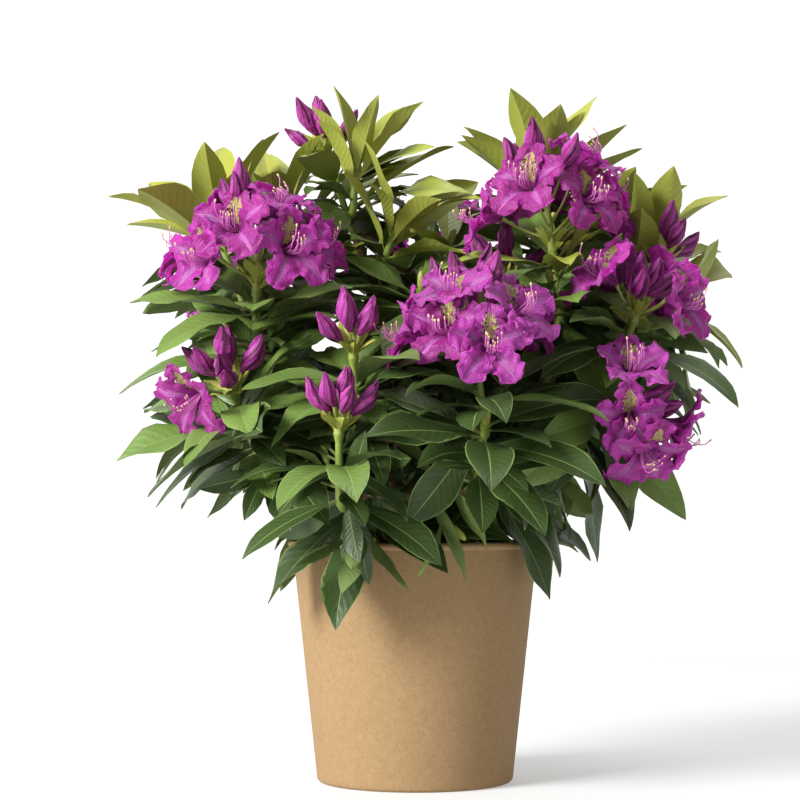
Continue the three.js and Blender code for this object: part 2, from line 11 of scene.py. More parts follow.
import bpy
import numpy as np
from mathutils.bvhtree import BVHTree
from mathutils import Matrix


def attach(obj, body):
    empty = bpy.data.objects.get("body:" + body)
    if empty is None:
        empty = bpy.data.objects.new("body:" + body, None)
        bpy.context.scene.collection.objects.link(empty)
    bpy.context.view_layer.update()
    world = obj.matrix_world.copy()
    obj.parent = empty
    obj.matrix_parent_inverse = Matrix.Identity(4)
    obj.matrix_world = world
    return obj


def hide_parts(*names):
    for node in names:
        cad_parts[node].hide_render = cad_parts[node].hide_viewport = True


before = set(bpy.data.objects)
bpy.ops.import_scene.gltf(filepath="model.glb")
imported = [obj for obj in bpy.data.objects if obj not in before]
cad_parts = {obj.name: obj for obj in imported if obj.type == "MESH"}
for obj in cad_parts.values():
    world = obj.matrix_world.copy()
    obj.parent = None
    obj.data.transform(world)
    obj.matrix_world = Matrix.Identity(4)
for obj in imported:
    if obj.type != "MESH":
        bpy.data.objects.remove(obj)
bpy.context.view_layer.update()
scene = bpy.context.scene

MM = 0.001

# ---- Driving sizes, as in the solids -------------------------------------------------------

TUB = dict(height=175.5, foot_radius=71.9, foot_round=3.5, top_radius=90.4, wall=1.5, floor=2.2, lip=2.4)
SOIL = dict(top=160, sunk=155, flat_radius=26, gap=0.35)
TRUNK = dict(foot=(4, 6), fork=(0, 0, 221), flare=15, flare_pace=5, radius=10.5, fork_radius=8.5,
             sides=9, steps=7)
BOUGH = dict(root=4.6, tip=3.3, sides=5, steps=5, leave=(0.75, 0.66), turn_up=0.3)
TWIG = dict(root=3.2, tip=2.6, sides=4, straight=46, straight_share=0.6, leave=(0.35, 0.6))
CLEAR = 0.3
RACHIS = dict(root=3.6, tip=2.6)
FLOWER = dict(across=57, deep=23, throat=12, sides=5)
BUD = dict(length=35, radius=7, belly=0.46, sides=4)
STALK_RADIUS = 1.2
SUNK = 1.1
GOLDEN_DEG = 137.508
# Leaves: half a stalk's width, the thickness as a share of the length, how far apart they sit, the
# bare foot of a shoot, the steps in which a midrib bends, and the room kept round a leaf. A coarse
# leaf has rings at these steps, each with its share of half the width.
LEAF = dict(stalk_half=1.1, thick=0.014, apart=2.4, bare=9, bends=8, elbow=1)
LEAF_RINGS = ((0, 0), (1, 0), (4.4, 1.16), (8, 0))
LEAF_ROOM = ((1, 0.1), (4.4, 1.28), (8, 0.1))

# Kinds of leaf whorl: the lean from the shoot's axis in degrees, the length, the width as a share
# of it, how far the leaves sag and how far they curl back in radians.
WHORLS = dict(
    young=dict(lean=(8, 34), length=(58, 86), slim=(0.27, 0.34), sag=0.05, curl=(0.1, 0.5)),
    rising=dict(lean=(24, 54), length=(82, 106), slim=(0.29, 0.36), sag=0.12, curl=(0.05, 0.45)),
    mature=dict(lean=(58, 92), length=(72, 98), slim=(0.3, 0.37), sag=0.35, curl=(0, 0.4)),
    spread=dict(lean=(48, 86), length=(86, 112), slim=(0.28, 0.34), sag=0.3, curl=(0, 0.3)),
    old=dict(lean=(76, 108), length=(76, 106), slim=(0.3, 0.36), sag=0.5, curl=(0, 0.3)),
    hanging=dict(lean=(92, 118), length=(94, 120), slim=(0.28, 0.34), sag=0.5, curl=(0, 0.3)),
    # the finer whorls, which the solids leave out
    inner=dict(lean=(52, 98), length=(48, 80), slim=(0.3, 0.38), sag=0.35, curl=(0, 0.4)),
    side=dict(lean=(40, 84), length=(38, 62), slim=(0.3, 0.38), sag=0.25, curl=(0, 0.4)),
)

# Kinds of truss: the stem in its middle, its flowers' stalks and their lean, from foot to top, the
# share of a stalk that a bud has, and the share of florets that is added to the solids' own.
TRUSSES = dict(
    full=dict(rachis=34, stalk=(38, 24), lean=(60, 8), closed=1, fuller=0.6),
    tall=dict(rachis=38, stalk=(38, 26), lean=(62, 8), closed=1, fuller=0.6),
    half=dict(rachis=12, stalk=(28, 18), lean=(60, 8), closed=0.5, fuller=0.2),
    tight=dict(rachis=12, stalk=(12, 8), lean=(48, 6), closed=1, fuller=0),
)

HABITS = dict(
    truss=dict(truss="full", open=8, buds=5, whorls=[("mature", 8, 7), ("old", 3, 44)]),
    budded=dict(truss="tight", open=0, buds=6, whorls=[("mature", 7, 12), ("old", 3, 44)]),
    flush=dict(whorls=[("young", 6, 2), ("rising", 3, 22), ("old", 2, 48)]),
    rising=dict(whorls=[("rising", 8, 2), ("mature", 3, 34)]),
    leafy=dict(whorls=[("mature", 8, 2), ("old", 3, 36)]),
    skirt=dict(whorls=[("spread", 7, 2), ("old", 3, 28)]),
    foot=dict(whorls=[("hanging", 6, 2), ("hanging", 3, 26)]),
    sprig=dict(whorls=[("side", 5, 1), ("side", 3, 12)]),
)
# The whorls under the truss that opens to the right of the crown.
DROOPING = [("old", 8, 7), ("old", 3, 44)]

# Each bough: what it grows from, how far up that it leaves, and its tip.
BOUGHS = dict(
    bough_left=("trunk", 0.79, (-66, -26, 290)),
    bough_left_low=("bough_left", 0.42, (-68, -60, 246)),
    bough_top=("trunk", 0.99, (-24, 16, 340)),
    bough_right=("trunk", 0.76, (70, -14, 314)),
    bough_right_out=("bough_right", 0.45, (102, -34, 282)),
    bough_right_low=("trunk", 0.5, (84, -58, 238)),
    bough_front=("trunk", 0.68, (18, -72, 260)),
    bough_front_low=("trunk", 0.45, (-16, -84, 218)),
    bough_back_left=("trunk", 0.7, (-66, 48, 282)),
    bough_back_top=("bough_back_left", 0.35, (4, 66, 332)),
    bough_back_right=("trunk", 0.64, (80, 46, 290)),
    bough_back_low=("trunk", 0.54, (6, 82, 240)),
)

# Each mass of foliage: what its stem grows on from, where on the trunk it starts if it does, and
# its shoots as habit, tip, the way it points, the turn of its leaves and what differs from the habit.
MASSES = dict(
    foliage_left_top=("bough_left", None, [
        ("truss", (-112, -78, 353), (0.04, -0.3, 0.95), 32, dict(truss="tall")),
        ("rising", (-146, 0, 402), (-0.35, 0, 0.94), 10),
        ("flush", (-104, 16, 418), (-0.1, -0.1, 1), 70),
    ]),
    foliage_left_middle=("bough_left_low", None, [
        ("truss", (-126, -100, 279), (-0.3, -0.45, 0.84), 222, dict(truss="half", open=1, buds=6)),
        ("skirt", (-120, -84, 262), (-0.75, -0.3, 0.6), 0),
    ]),
    foliage_top=("bough_top", None, [
        ("budded", (-64, 6, 460), (-0.3, -0.2, 0.93), 20,
         dict(whorls=[("mature", 5, 16), ("old", 3, 40)])),
        ("flush", (-14, -14, 408), (0.3, -0.35, 0.9), 0),
        ("leafy", (26, 12, 396), (0.3, -0.15, 0.95), 30),
        ("flush", (-44, -12, 450), (0.05, -0.05, 1), 55,
         dict(whorls=[("young", 5, 2), ("rising", 7, 14)])),
    ]),
    foliage_right_top=("bough_right", None, [
        ("truss", (98, -60, 384), (-0.14, -0.24, 0.97), 36, dict(truss="tall", open=9, buds=4)),
        ("flush", (94, 8, 446), (0, 0, 1), 15,
         dict(whorls=[("young", 5, 4), ("rising", 8, 16), ("old", 2, 46)])),
        ("rising", (128, 40, 402), (0.1, 0.2, 0.95), 50),
        ("budded", (68, -18, 362), (-0.15, -0.4, 0.9), 0, dict(buds=4)),
    ]),
    foliage_right=("bough_right_out", None, [
        ("truss", (154, -76, 332), (0.28, -0.3, 0.9), 60,
         dict(truss="half", open=3, buds=5, whorls=DROOPING)),
        ("budded", (178, -20, 374), (0.2, -0.2, 0.96), 35, dict(buds=4, whorls=[("old", 3, 30)])),
        ("flush", (172, 10, 388), (0.45, -0.1, 0.89), 0,
         dict(whorls=[("young", 5, 4), ("rising", 8, 14)])),
        ("leafy", (190, -18, 336), (0.9, -0.1, 0.2), 20),
        ("rising", (194, 6, 368), (0.7, -0.15, 0.7), 30),
    ]),
    foliage_right_low=("bough_right_low", None, [
        ("truss", (142, -90, 266), (0.6, -0.75, 0.12), 60, dict(truss="half", open=5, buds=3)),
        ("skirt", (122, -66, 272), (0.6, -0.3, 0.75), 20),
    ]),
    foliage_centre=("bough_front", None, [
        ("truss", (42, -126, 293), (-0.14, -0.16, 0.97), 44, dict(open=9)),
        ("budded", (-43, -122, 303), (-0.05, -0.35, 0.93), 60),
        ("leafy", (4, -62, 356), (0, -0.25, 0.95), 40),
    ]),
    foliage_front_low=("bough_front_low", None, [
        ("budded", (-52, -150, 250), (0, -0.3, 0.95), 20),
        ("skirt", (47, -136, 257), (0.1, -0.6, 0.75), 10),
    ]),
    foliage_foot_left=("trunk", 0.26, [("foot", (-38, -72, 212), (-0.4, -0.55, 0.75), -34)]),
    foliage_foot_right=("trunk", 0.32, [("foot", (56, -56, 232), (0.4, -0.5, 0.8), 30)]),
    foliage_back_left=("bough_back_left", None, [
        ("truss", (-112, 84, 332), (-0.35, 0.5, 0.8), 10, dict(open=6, buds=3)),
        ("leafy", (-146, 48, 284), (-0.7, 0.2, 0.7), 60),
        ("skirt", (-108, 92, 262), (-0.5, 0.5, 0.7), 30),
    ]),
    foliage_back_top=("bough_back_top", None, [
        ("truss", (26, 88, 374), (0.05, 0.5, 0.86), 30, dict(open=6, buds=3)),
        ("flush", (-40, 68, 400), (-0.15, 0.1, 1), 0),
        ("leafy", (66, 72, 388), (0.3, 0.3, 0.9), 10),
    ]),
    foliage_back_right=("bough_back_right", None, [
        ("truss", (136, 88, 336), (0.35, 0.5, 0.8), 50, dict(open=6, buds=3)),
        ("leafy", (154, 44, 312), (0.7, 0.2, 0.7), 25),
        ("flush", (126, 74, 366), (0.3, 0.2, 1), 0),
    ]),
    foliage_back_low=("bough_back_low", None, [
        ("truss", (10, 138, 298), (0, 0.6, 0.8), 0, dict(open=6, buds=3)),
        ("budded", (-62, 138, 276), (-0.15, 0.5, 0.85), 40, dict(buds=5)),
        ("skirt", (76, 132, 268), (0.3, 0.5, 0.8), 20),
    ]),
    foliage_foot_back_left=("trunk", 0.38, [("foot", (-46, 54, 226), (-0.4, 0.5, 0.8), 15)]),
    foliage_foot_back_right=("trunk", 0.34, [("foot", (48, 56, 226), (0.4, 0.5, 0.8), 45)]),
)

# Tries of a leaf or flower that has no room: degrees turned, degrees leant, share of its size.
TRIES = ((0, 0, 1), (15, -8, 1), (-15, 8, 1), (30, -14, 0.95), (-30, 14, 0.95),
         (8, -26, 0.85), (-8, 24, 0.85), (22, 0, 0.72))

# The coarse bodies that keep things apart: how many there may be, the shares of a stalk that a
# floret's body and its heart leave out, and the room kept outside and inside the tub's rim.
ROOM = dict(bodies=6000, stalk=0.55, heart_stalk=0.6, outside=3.3, inside=1.5)

# Whorls that fill in between the larger ones.
INNER = [("inner", 5, 24), ("inner", 5, 38), ("inner", 4, 56), ("inner", 4, 72), ("inner", 4, 90)]

# Sprigs: where they leave a bough or a twig that is long enough, their length, their lean from it in
# degrees, how far they turn up, the share at their foot that needs no room, the radius that is
# tested, the one that is taken up, the share where the wood turns green, and the radii of both.
SPRIG = dict(on_bough=(0.5, 0.72, 0.9), on_twig=(0.4, 0.66), long_enough=60, length=26, tries=6,
             lean=(38, 72), turn_up=0.35, foot=0.35, room=1.6, radius=1.3, green_from=0.6,
             wood_radii=(1.8, 1.4), green_radii=(1.8, 1.3))

# More florets in a truss: how often one is tried, the share of its size that has to find space, and
# the share of its stalk that doesn't.
FILLING = dict(tries=90, heart=0.64, stalk=0.8)

# ---- Small tools ---------------------------------------------------------------------------

# The round in radians from which the start of a wave is drawn.
ROUND = 6.28
UP = np.array((0.0, 0.0, 1.0))
AWAY = np.array((0.0, 1.0, 0.0))


def mix(a, b, share):
    """The value that lies a share of the way from one to another."""
    return a + (b - a) * share


def unit(v):
    """A direction with a length of 1."""
    return v / math.sqrt(v @ v)


def cross(a, b):
    """The direction square to two others."""
    return np.array((a[1] * b[2] - a[2] * b[1], a[2] * b[0] - a[0] * b[2], a[0] * b[1] - a[1] * b[0]))


def turns_of(sides):
    """The angles of the corners of a round shape with so many sides."""
    return np.arange(sides) * 2 * math.pi / sides


def source(seed):
    """A repeatable source of numbers between two values, the same as the solids' own."""
    state = seed & 0xFFFFFFFF

    def draw(low=0, high=1):
        nonlocal state
        state = (state + 0x6D2B79F5) & 0xFFFFFFFF
        t = ((state ^ (state >> 15)) * (state | 1)) & 0xFFFFFFFF
        t ^= (t + (((t ^ (t >> 7)) * (t | 61)) & 0xFFFFFFFF)) & 0xFFFFFFFF
        return mix(low, high, (t ^ (t >> 14)) / 4294967296)

    return draw


def leaning(axis, lean_deg, turn_deg):
    """The direction that leans from an axis by one angle and is turned round it by another."""
    right = unit(cross(AWAY, axis))
    away = cross(axis, right)
    lean, turn = math.radians(lean_deg), math.radians(turn_deg)
    level = right * math.cos(turn) + away * math.sin(turn)
    return axis * math.cos(lean) + level * math.sin(lean)


def upper_of(facing):
    """The direction square to the way a flower faces that points as far up as it can."""
    level = AWAY if abs(facing @ UP) > 0.95 else UP
    return unit(level - facing * (level @ facing))


def placed(points, foot, facing, upper):
    """Points from their own frame, with y the way they face and z their upper side, in place."""
    turned = points.reshape(-1, 3) @ np.array((cross(facing, upper), facing, upper))
    return (foot + turned).reshape(points.shape)


# ---- Limbs ---------------------------------------------------------------------------------

class Bend:
    """The cubic line from one point to another that leaves and arrives in given directions."""

    REACH = 0.38
    SHARES = np.linspace(0, 1, 201)

    def __init__(self, start, leave, end, arrive):
        reach = math.dist(start, end) * self.REACH
        self.knots = np.array((start, start + leave * reach, end - arrive * reach, end))
        gaps = np.linalg.norm(np.diff([self.point(t) for t in self.SHARES], axis=0), axis=1)
        self.run = np.concatenate(([0], np.cumsum(gaps)))
        self.length = self.run[-1]

    def point(self, t):
        """The point at a share of the way."""
        s = 1 - t
        return np.array((s**3, 3 * s * s * t, 3 * s * t * t, t**3)) @ self.knots

    def tangent(self, t):
        """The way the line runs at a share of the way."""
        low, high = max(0, t - 1e-4), min(1, t + 1e-4)
        return unit(self.point(high) - self.point(low))


class Twig(Bend):
    """A twig's line, which bends only before its last and straight stretch."""

    def __init__(self, start, leave, end, arrive):
        reach = min(TWIG["straight"], math.dist(start, end) * TWIG["straight_share"])
        self.elbow, self.end = end - arrive * reach, end
        super().__init__(start, leave, self.elbow, arrive)
        self.bent = self.length
        self.length = self.bent + reach
        self.rings = (0, self.bent / self.length, 1)

    def point(self, share):
        if not hasattr(self, "bent"):
            return super().point(share)
        done = share * self.length
        if done > self.bent:
            return mix(self.elbow, self.end, (done - self.bent) / (self.length - self.bent))
        return super().point(np.interp(done, self.run, self.SHARES))

    def middle(self, share):
        """The middle of the twig's solid, which runs straight from ring to ring."""
        low, high = self.rings[:2] if share <= self.rings[1] else self.rings[1:]
        return mix(self.point(low), self.point(high), (share - low) / (high - low))


def loft_faces(rings, sides):
    """The faces of a closed tube of rings of points, with a flat face at each end."""
    i, j = np.meshgrid(np.arange(rings - 1), np.arange(sides), indexing="ij")
    k = (j + 1) % sides
    quads = np.stack((i * sides + j, i * sides + k, (i + 1) * sides + k, (i + 1) * sides + j), axis=-1)
    caps = [list(range(sides))[::-1], list(range((rings - 1) * sides, rings * sides))]
    return quads.reshape(-1, 4).tolist() + caps


def tube(line, radius_at, sides, shares):
    """A coarse limb as points and faces, for the test of room."""
    way = unit(line.point(1) - line.point(0))
    right = unit(cross(AWAY if abs(way[1]) < 0.9 else UP, way))
    turns = turns_of(sides)
    points = [
        line.point(share) + radius_at(share) * (right * math.cos(a) + cross(way, right) * math.sin(a))
        for share in shares
        for a in turns
    ]
    return np.array(points), loft_faces(len(shares), sides)


def trunk_line():
    """The trunk's middle line, from the soil to the fork."""
    foot = np.array((*TRUNK["foot"], SOIL["top"] + CLEAR))
    fork = np.array(TRUNK["fork"], dtype=float)
    return Bend(foot, UP, fork, unit(fork - foot))


def trunk_radius(share):
    """The trunk's radius a share of the way up it, with the flare of its roots."""
    flare = TRUNK["flare"] - TRUNK["radius"]
    spread = max(0, 1 - share * TRUNK["flare_pace"]) ** 2
    return mix(TRUNK["radius"], TRUNK["fork_radius"], share) + flare * spread


def tapering(rule):
    """The radius of a limb that narrows evenly, as a function of the share of the way along it."""
    return lambda share: mix(rule["root"], rule["tip"], share)


def limb_ways(start, tip):
    """The way a limb leaves what carries it, and the way it ends."""
    level = unit(np.array((tip[0] - start[0], tip[1] - start[1], 0)))
    outwards, upwards = BOUGH["leave"]
    leave = unit(level * outwards + UP * upwards)
    return leave, unit(unit(tip - start) + UP * BOUGH["turn_up"])


# ---- Room for each piece -------------------------------------------------------------------

class Room:
    """What is already in place, as coarse bodies, each with its owner and the box that holds it."""

    def __init__(self):
        self.trees, self.owners = [], []
        self.lows, self.highs = np.empty((2, ROOM["bodies"], 3))

    def take(self, body, owner):
        """Puts a body in place."""
        points, faces = body
        at = len(self.trees)
        self.lows[at], self.highs[at] = points.min(axis=0), points.max(axis=0)
        self.trees.append(BVHTree.FromPolygons(points.tolist(), faces))
        self.owners.append(owner)

    def has(self, body, owner):
        """Whether a body would touch nothing but what has the same owner."""
        points, faces = body
        count = len(self.trees)
        meets = (self.lows[:count] <= points.max(axis=0)) & (self.highs[:count] >= points.min(axis=0))
        near = [i for i in np.flatnonzero(meets.all(axis=1)) if self.owners[i] != owner]
        tree = BVHTree.FromPolygons(points.tolist(), faces) if near else None
        return not any(self.trees[i].overlap(tree) for i in near)


room, hearts = Room(), Room()

# ---- Leaves and flowers, as coarse bodies --------------------------------------------------


def midrib(leaf):
    """A leaf's midrib in its own frame: its points and upward directions, step by step."""
    down = np.array((0, -leaf["way"] @ UP, -leaf["face"] @ UP))
    points, ways, faces = [np.zeros(3)], [AWAY], [UP]
    for i in range(LEAF["bends"]):
        share = 2 * i / LEAF["bends"] / (LEAF["bends"] - 1)
        way = unit(ways[i] + down * leaf["sag"] * share - faces[i] * leaf["curl"] * share)
        points.append(points[i] + way * leaf["length"] / LEAF["bends"])
        ways.append(way)
        faces.append(np.array((0, -way[2], way[1])))
    return np.array(points), np.array(faces)


def leaf_body(leaf, rings, extra):
    """A leaf as coarse rings of three points, widened by what has to stay free round it."""
    points, faces = midrib(leaf)
    thick = leaf["length"] * LEAF["thick"]
    corners = []
    for step, share in rings:
        low = int(step)
        middle = points[low] if step == low else mix(points[low], points[low + 1], step - low)
        ended = step >= LEAF["bends"]
        half = mix(0 if ended else LEAF["stalk_half"], leaf["width"] / 2, share) + max(extra, 0.01)
        across = np.array((half, 0, 0))
        corners.append(middle - faces[low] * ((0 if ended else thick) + extra))
        corners += [middle - across + faces[low] * extra, middle + across + faces[low] * extra]
    return placed(np.array(corners), leaf["root"], leaf["way"], leaf["face"]), loft_faces(len(rings), 3)


def floret_body(floret, started):
    """A floret from part of the way along its stalk, as a funnel or, for a bud, a spindle."""
    stalk, size = floret["stalk"], floret["size"]
    if floret["open"]:
        mouth = [(FLOWER["across"] / 2 * size, stalk + FLOWER["deep"] * size),
                 (0.01, stalk + FLOWER["throat"] * size)]
    else:
        mouth = [(BUD["radius"] * size, stalk + BUD["length"] * BUD["belly"] * size),
                 (0.01, stalk + BUD["length"] * size)]
    outline = [(STALK_RADIUS, stalk * started), (STALK_RADIUS, stalk), *mouth]
    sides = (FLOWER if floret["open"] else BUD)["sides"]
    turns = turns_of(sides)
    points = np.array([(r * math.sin(a), y, r * math.cos(a)) for r, y in outline for a in turns])
    return placed(points, floret["foot"], floret["way"], upper_of(floret["way"])), loft_faces(4, sides)


def florets_of(shoot):
    """The florets that a truss would carry, from the open ones at its foot to the buds at its top."""
    habit = shoot["habit"]
    count = habit["open"] + habit["buds"]
    draw = source(shoot["seed"] * 1009 + 5)
    rule = TRUSSES[habit["truss"]]
    for i in range(count):
        rise = (i + 0.3) / (count - 0.4)
        lean = mix(*rule["lean"], rise**1.05) + (draw() * 2 - 1) * 6
        turn = shoot["turn"] + i * GOLDEN_DEG + (draw() * 2 - 1) * 7
        up = rule["rachis"] * (0.1 + 0.85 * rise)
        is_open = i < habit["open"]
        stalk = mix(*rule["stalk"], rise) * (1 if is_open else rule["closed"])
        yield dict(open=is_open, up=up, lean=lean, turn=turn, stalk=stalk, size=draw(0.94, 1.06))


def floret_at(shoot, wish, change):
    """The floret that a truss wishes for, changed by one of the tries."""
    turn_by, lean_by, smaller = change
    way = leaning(shoot["aim"], wish["lean"] + lean_by, wish["turn"] + turn_by)
    foot = shoot["tip"] + shoot["aim"] * wish["up"] + way * SUNK
    stalk = wish["stalk"] + abs(turn_by) * 0.2
    return dict(open=wish["open"], foot=foot, way=way, stalk=stalk, size=wish["size"] * mix(1, smaller, 0.6))


def leaves_of(shoot, whorls, first=0):
    """The leaves that a shoot would carry, whorl by whorl."""
    for whorl, (kind, count, below) in enumerate(whorls, first):
        rule = WHORLS[kind]
        for k in range(count):
            draw = source(shoot["seed"] * 7919 + whorl * 613 + k * 31 + 3)
            turn = shoot["turn"] + whorl * 27 + 360 * (k + 0.5 * draw()) / count
            lean = draw(*rule["lean"])
            length = draw(*rule["length"])
            slim = draw(*rule["slim"])
            curl = draw(*rule["curl"])
            back = below + k * LEAF["apart"]
            if back < shoot["line"].length - LEAF["bare"]:
                yield dict(kind=kind, whorl=whorl, turn=turn, lean=lean, length=length, slim=slim,
                           curl=curl, sag=rule["sag"], back=back)


def leaf_at(shoot, wish, change):
    """The leaf that a shoot wishes for, changed by one of the tries."""
    turn_by, lean_by, shorter = change
    line = shoot["line"]
    share = 1 - wish["back"] / line.length
    axis = line.tangent(share)
    lean, turn = wish["lean"] + lean_by, wish["turn"] + turn_by
    way = leaning(axis, lean, turn)
    length = wish["length"] * shorter
    return dict(root=line.middle(share) + way * SUNK, way=way, face=leaning(axis, lean - 90, turn),
                length=length, width=length * wish["slim"], sag=wish["sag"], curl=wish["curl"],
                kind=wish["kind"], whorl=wish["whorl"], seed=shoot["seed"])


# ---- Growing the plant ---------------------------------------------------------------------

def wall_radius(height):
    """The outer radius of the tub's wall at a height."""
    share = (height - TUB["foot_round"]) / (TUB["height"] - TUB["lip"] - TUB["foot_round"])
    return mix(TUB["foot_radius"], TUB["top_radius"], share)


def turned_body(outline, sides):
    """A round body from its outline of radii and heights."""
    turns = turns_of(sides)
    points = np.array([(r * math.cos(a), r * math.sin(a), z) for r, z in outline for a in turns])
    return points, loft_faces(len(outline), sides)


room.take(turned_body([(TUB["foot_radius"], 0), (TUB["top_radius"] + ROOM["outside"], TUB["height"]),
                       (TUB["top_radius"] - ROOM["inside"], TUB["height"] - 1),
                       (wall_radius(SOIL["sunk"]) - ROOM["inside"], SOIL["sunk"]),
                       (SOIL["flat_radius"], SOIL["top"])], 32), "tub")

limbs = {"trunk": dict(line=trunk_line(), radius=trunk_radius)}
steps = np.linspace(0, 1, TRUNK["steps"] + 1)
room.take(tube(limbs["trunk"]["line"], trunk_radius, TRUNK["sides"], steps), "trunk")
for name, (carrier, share, tip) in BOUGHS.items():
    start, tip = limbs[carrier]["line"].point(share), np.array(tip, dtype=float)
    leave, arrive = limb_ways(start, tip)
    line = Bend(start, leave, tip, arrive)
    limbs[name] = dict(line=line, radius=tapering(BOUGH), arrive=arrive)
    room.take(tube(line, tapering(BOUGH), BOUGH["sides"], np.linspace(0, 1, BOUGH["steps"] + 1)), name)


def shoots_of(name, mass, first_seed):
    """The shoots of a mass, each with its twig's line, from the mass's table row."""
    carrier, trunk_share, rows = mass
    shoots = []
    for i, (habit, tip, aim, turn, *other) in enumerate(rows):
        end, way = np.array(tip, dtype=float), unit(np.array(aim, dtype=float))
        if i > 0:
            at = mix(*TWIG["leave"], (i - 1) / max(1, len(rows) - 2))
            start = shoots[0]["line"].middle(at)
            leave = unit(shoots[0]["line"].tangent(at) + unit(end - start))
        elif trunk_share is not None:
            start = limbs[carrier]["line"].point(trunk_share)
            leave = limb_ways(start, end)[0]
        else:
            leave = limbs[carrier]["arrive"]
            start = limbs[carrier]["line"].point(1) + leave * CLEAR
        changed = other[0] if other else {}
        shoots.append(dict(habit={**HABITS[habit], **changed}, tip=end, aim=way, turn=turn,
                           line=Twig(start, leave, end, way), seed=first_seed + i, name=name + str(i)))
    return shoots


shoots = [shoot for i, (name, mass) in enumerate(MASSES.items())
          for shoot in shoots_of(name, mass, 1 + i * 10)]
trussed = [shoot for shoot in shoots if "truss" in shoot["habit"]]
florets, leaves = [], []


def heart_body(floret, started):
    """The inmost part of a floret, which no other floret may pass through."""
    return floret_body({**floret, "size": floret["size"] * FILLING["heart"]}, started)


for shoot in shoots:
    room.take(tube(shoot["line"], tapering(TWIG), TWIG["sides"], shoot["line"].rings), shoot["name"])
    if "truss" not in shoot["habit"]:
        continue
    tip, aim = shoot["tip"], shoot["aim"]
    spine = Bend(tip - aim * 2, aim, tip + aim * TRUSSES[shoot["habit"]["truss"]]["rachis"], aim)
    room.take(tube(spine, tapering(RACHIS), 4, (0, 1)), shoot["name"])
    for wish in florets_of(shoot):
        for change in TRIES:
            floret = floret_at(shoot, wish, change)
            if room.has(floret_body(floret, ROOM["stalk"]), shoot["name"]):
                florets.append(floret)
                room.take(floret_body(floret, 0.0), shoot["name"])
                room.take(floret_body(floret, ROOM["stalk"]), "floret")
                hearts.take(heart_body(floret, ROOM["heart_stalk"]), "")
                break


def grow_leaves(shoot, whorls, first=0, elbow=LEAF["elbow"]):
    """Places each leaf of a shoot that finds room."""
    for wish in leaves_of(shoot, whorls, first):
        for change in TRIES:
            leaf = leaf_at(shoot, wish, change)
            if room.has(leaf_body(leaf, LEAF_ROOM, elbow), shoot["name"]):
                leaves.append(leaf)
                room.take(leaf_body(leaf, LEAF_RINGS, 0), "")
                break


for shoot in shoots:
    grow_leaves(shoot, shoot["habit"]["whorls"])

# The rule carried on: more florets where a truss has space for their hearts, small leaves between
# the large ones, and sprigs on the twigs and boughs.
for shoot in trussed:
    habit = shoot["habit"]
    rule = TRUSSES[habit["truss"]]
    draw = source(shoot["seed"] * 1511 + 3)
    wanted = {True: round(habit["open"] * rule["fuller"]), False: round(habit["buds"] * rule["fuller"])}
    for _ in range(FILLING["tries"]):
        rise = draw()
        is_open = rise < habit["open"] / (habit["open"] + habit["buds"])
        wish = dict(open=is_open, up=rule["rachis"] * mix(0.1, 0.95, rise), turn=360 * draw(),
                    lean=mix(*rule["lean"], rise) + 14 * (draw() - 0.5),
                    stalk=mix(*rule["stalk"], rise) * draw(0.9, 1.15), size=draw(0.84, 1))
        wish["stalk"] *= 1 if is_open else rule["closed"]
        floret = floret_at(shoot, wish, TRIES[0])
        heart = heart_body(floret, FILLING["stalk"])
        if wanted[is_open] > 0 and room.has(heart, "floret") and hearts.has(heart, "floret"):
            wanted[is_open] -= 1
            florets.append(floret)
            hearts.take(heart, "")
            room.take(heart, "floret")

for shoot in shoots:
    grow_leaves(shoot, INNER, first=5, elbow=0.5)

carriers = [(shoot["line"], share, shoot["seed"] * 7 + k) for shoot in shoots
            for k, share in enumerate(SPRIG["on_twig"]) if shoot["line"].length > SPRIG["long_enough"]]
carriers += [(limb["line"], share, 900 + 11 * n + k) for n, limb in enumerate(list(limbs.values())[1:])
             for k, share in enumerate(SPRIG["on_bough"])]
sprigs = []
for line, share, seed in carriers:
    draw = source(seed * 131 + 7)
    start, axis = line.point(share), line.tangent(share)
    for _ in range(SPRIG["tries"]):
        way = leaning(axis, draw(*SPRIG["lean"]), 360 * draw())
        tip = start + way * SPRIG["length"] * draw(0.8, 1.2)
        aim = unit(way + UP * SPRIG["turn_up"])
        sprig = dict(habit=HABITS["sprig"], tip=tip, aim=aim, turn=360 * draw(), seed=3000 + seed,
                     name="sprig" + str(seed), line=Twig(start, way, tip, aim))
        free = Bend(mix(start, tip, SPRIG["foot"]), way, tip, way)
        if room.has(tube(free, lambda s: SPRIG["room"], 4, (0, 1)), sprig["name"]):
            room.take(tube(free, lambda s: SPRIG["radius"], 4, (0, 1)), sprig["name"])
            grow_leaves(sprig, sprig["habit"]["whorls"], elbow=0.4)
            sprigs.append(sprig)
            break

# ---- Finishes ------------------------------------------------------------------------------


def linear(colour):
    """An sRGB hex colour as linear red, green, blue and full alpha."""
    parts = [int(colour[i : i + 2], 16) / 255 for i in (1, 3, 5)]
    return [c / 12.92 if c <= 0.04045 else ((c + 0.055) / 1.055) ** 2.4 for c in parts] + [1.0]


def add(tree, kind, inputs=()):
    """Adds a node with its settings and links.

    A plain value is set on the property or socket of its name. A socket is linked to it, and so is
    the first output of a node.
    """
    made = tree.nodes.new(kind)
    for key, value in dict(inputs).items():
        if isinstance(value, bpy.types.Node):
            value = value.outputs[0]
        if isinstance(value, bpy.types.NodeSocket):
            tree.links.new(value, made.inputs[key])
        elif isinstance(key, str) and hasattr(made, key):
            setattr(made, key, value)
        else:
            made.inputs[key].default_value = value
    return made


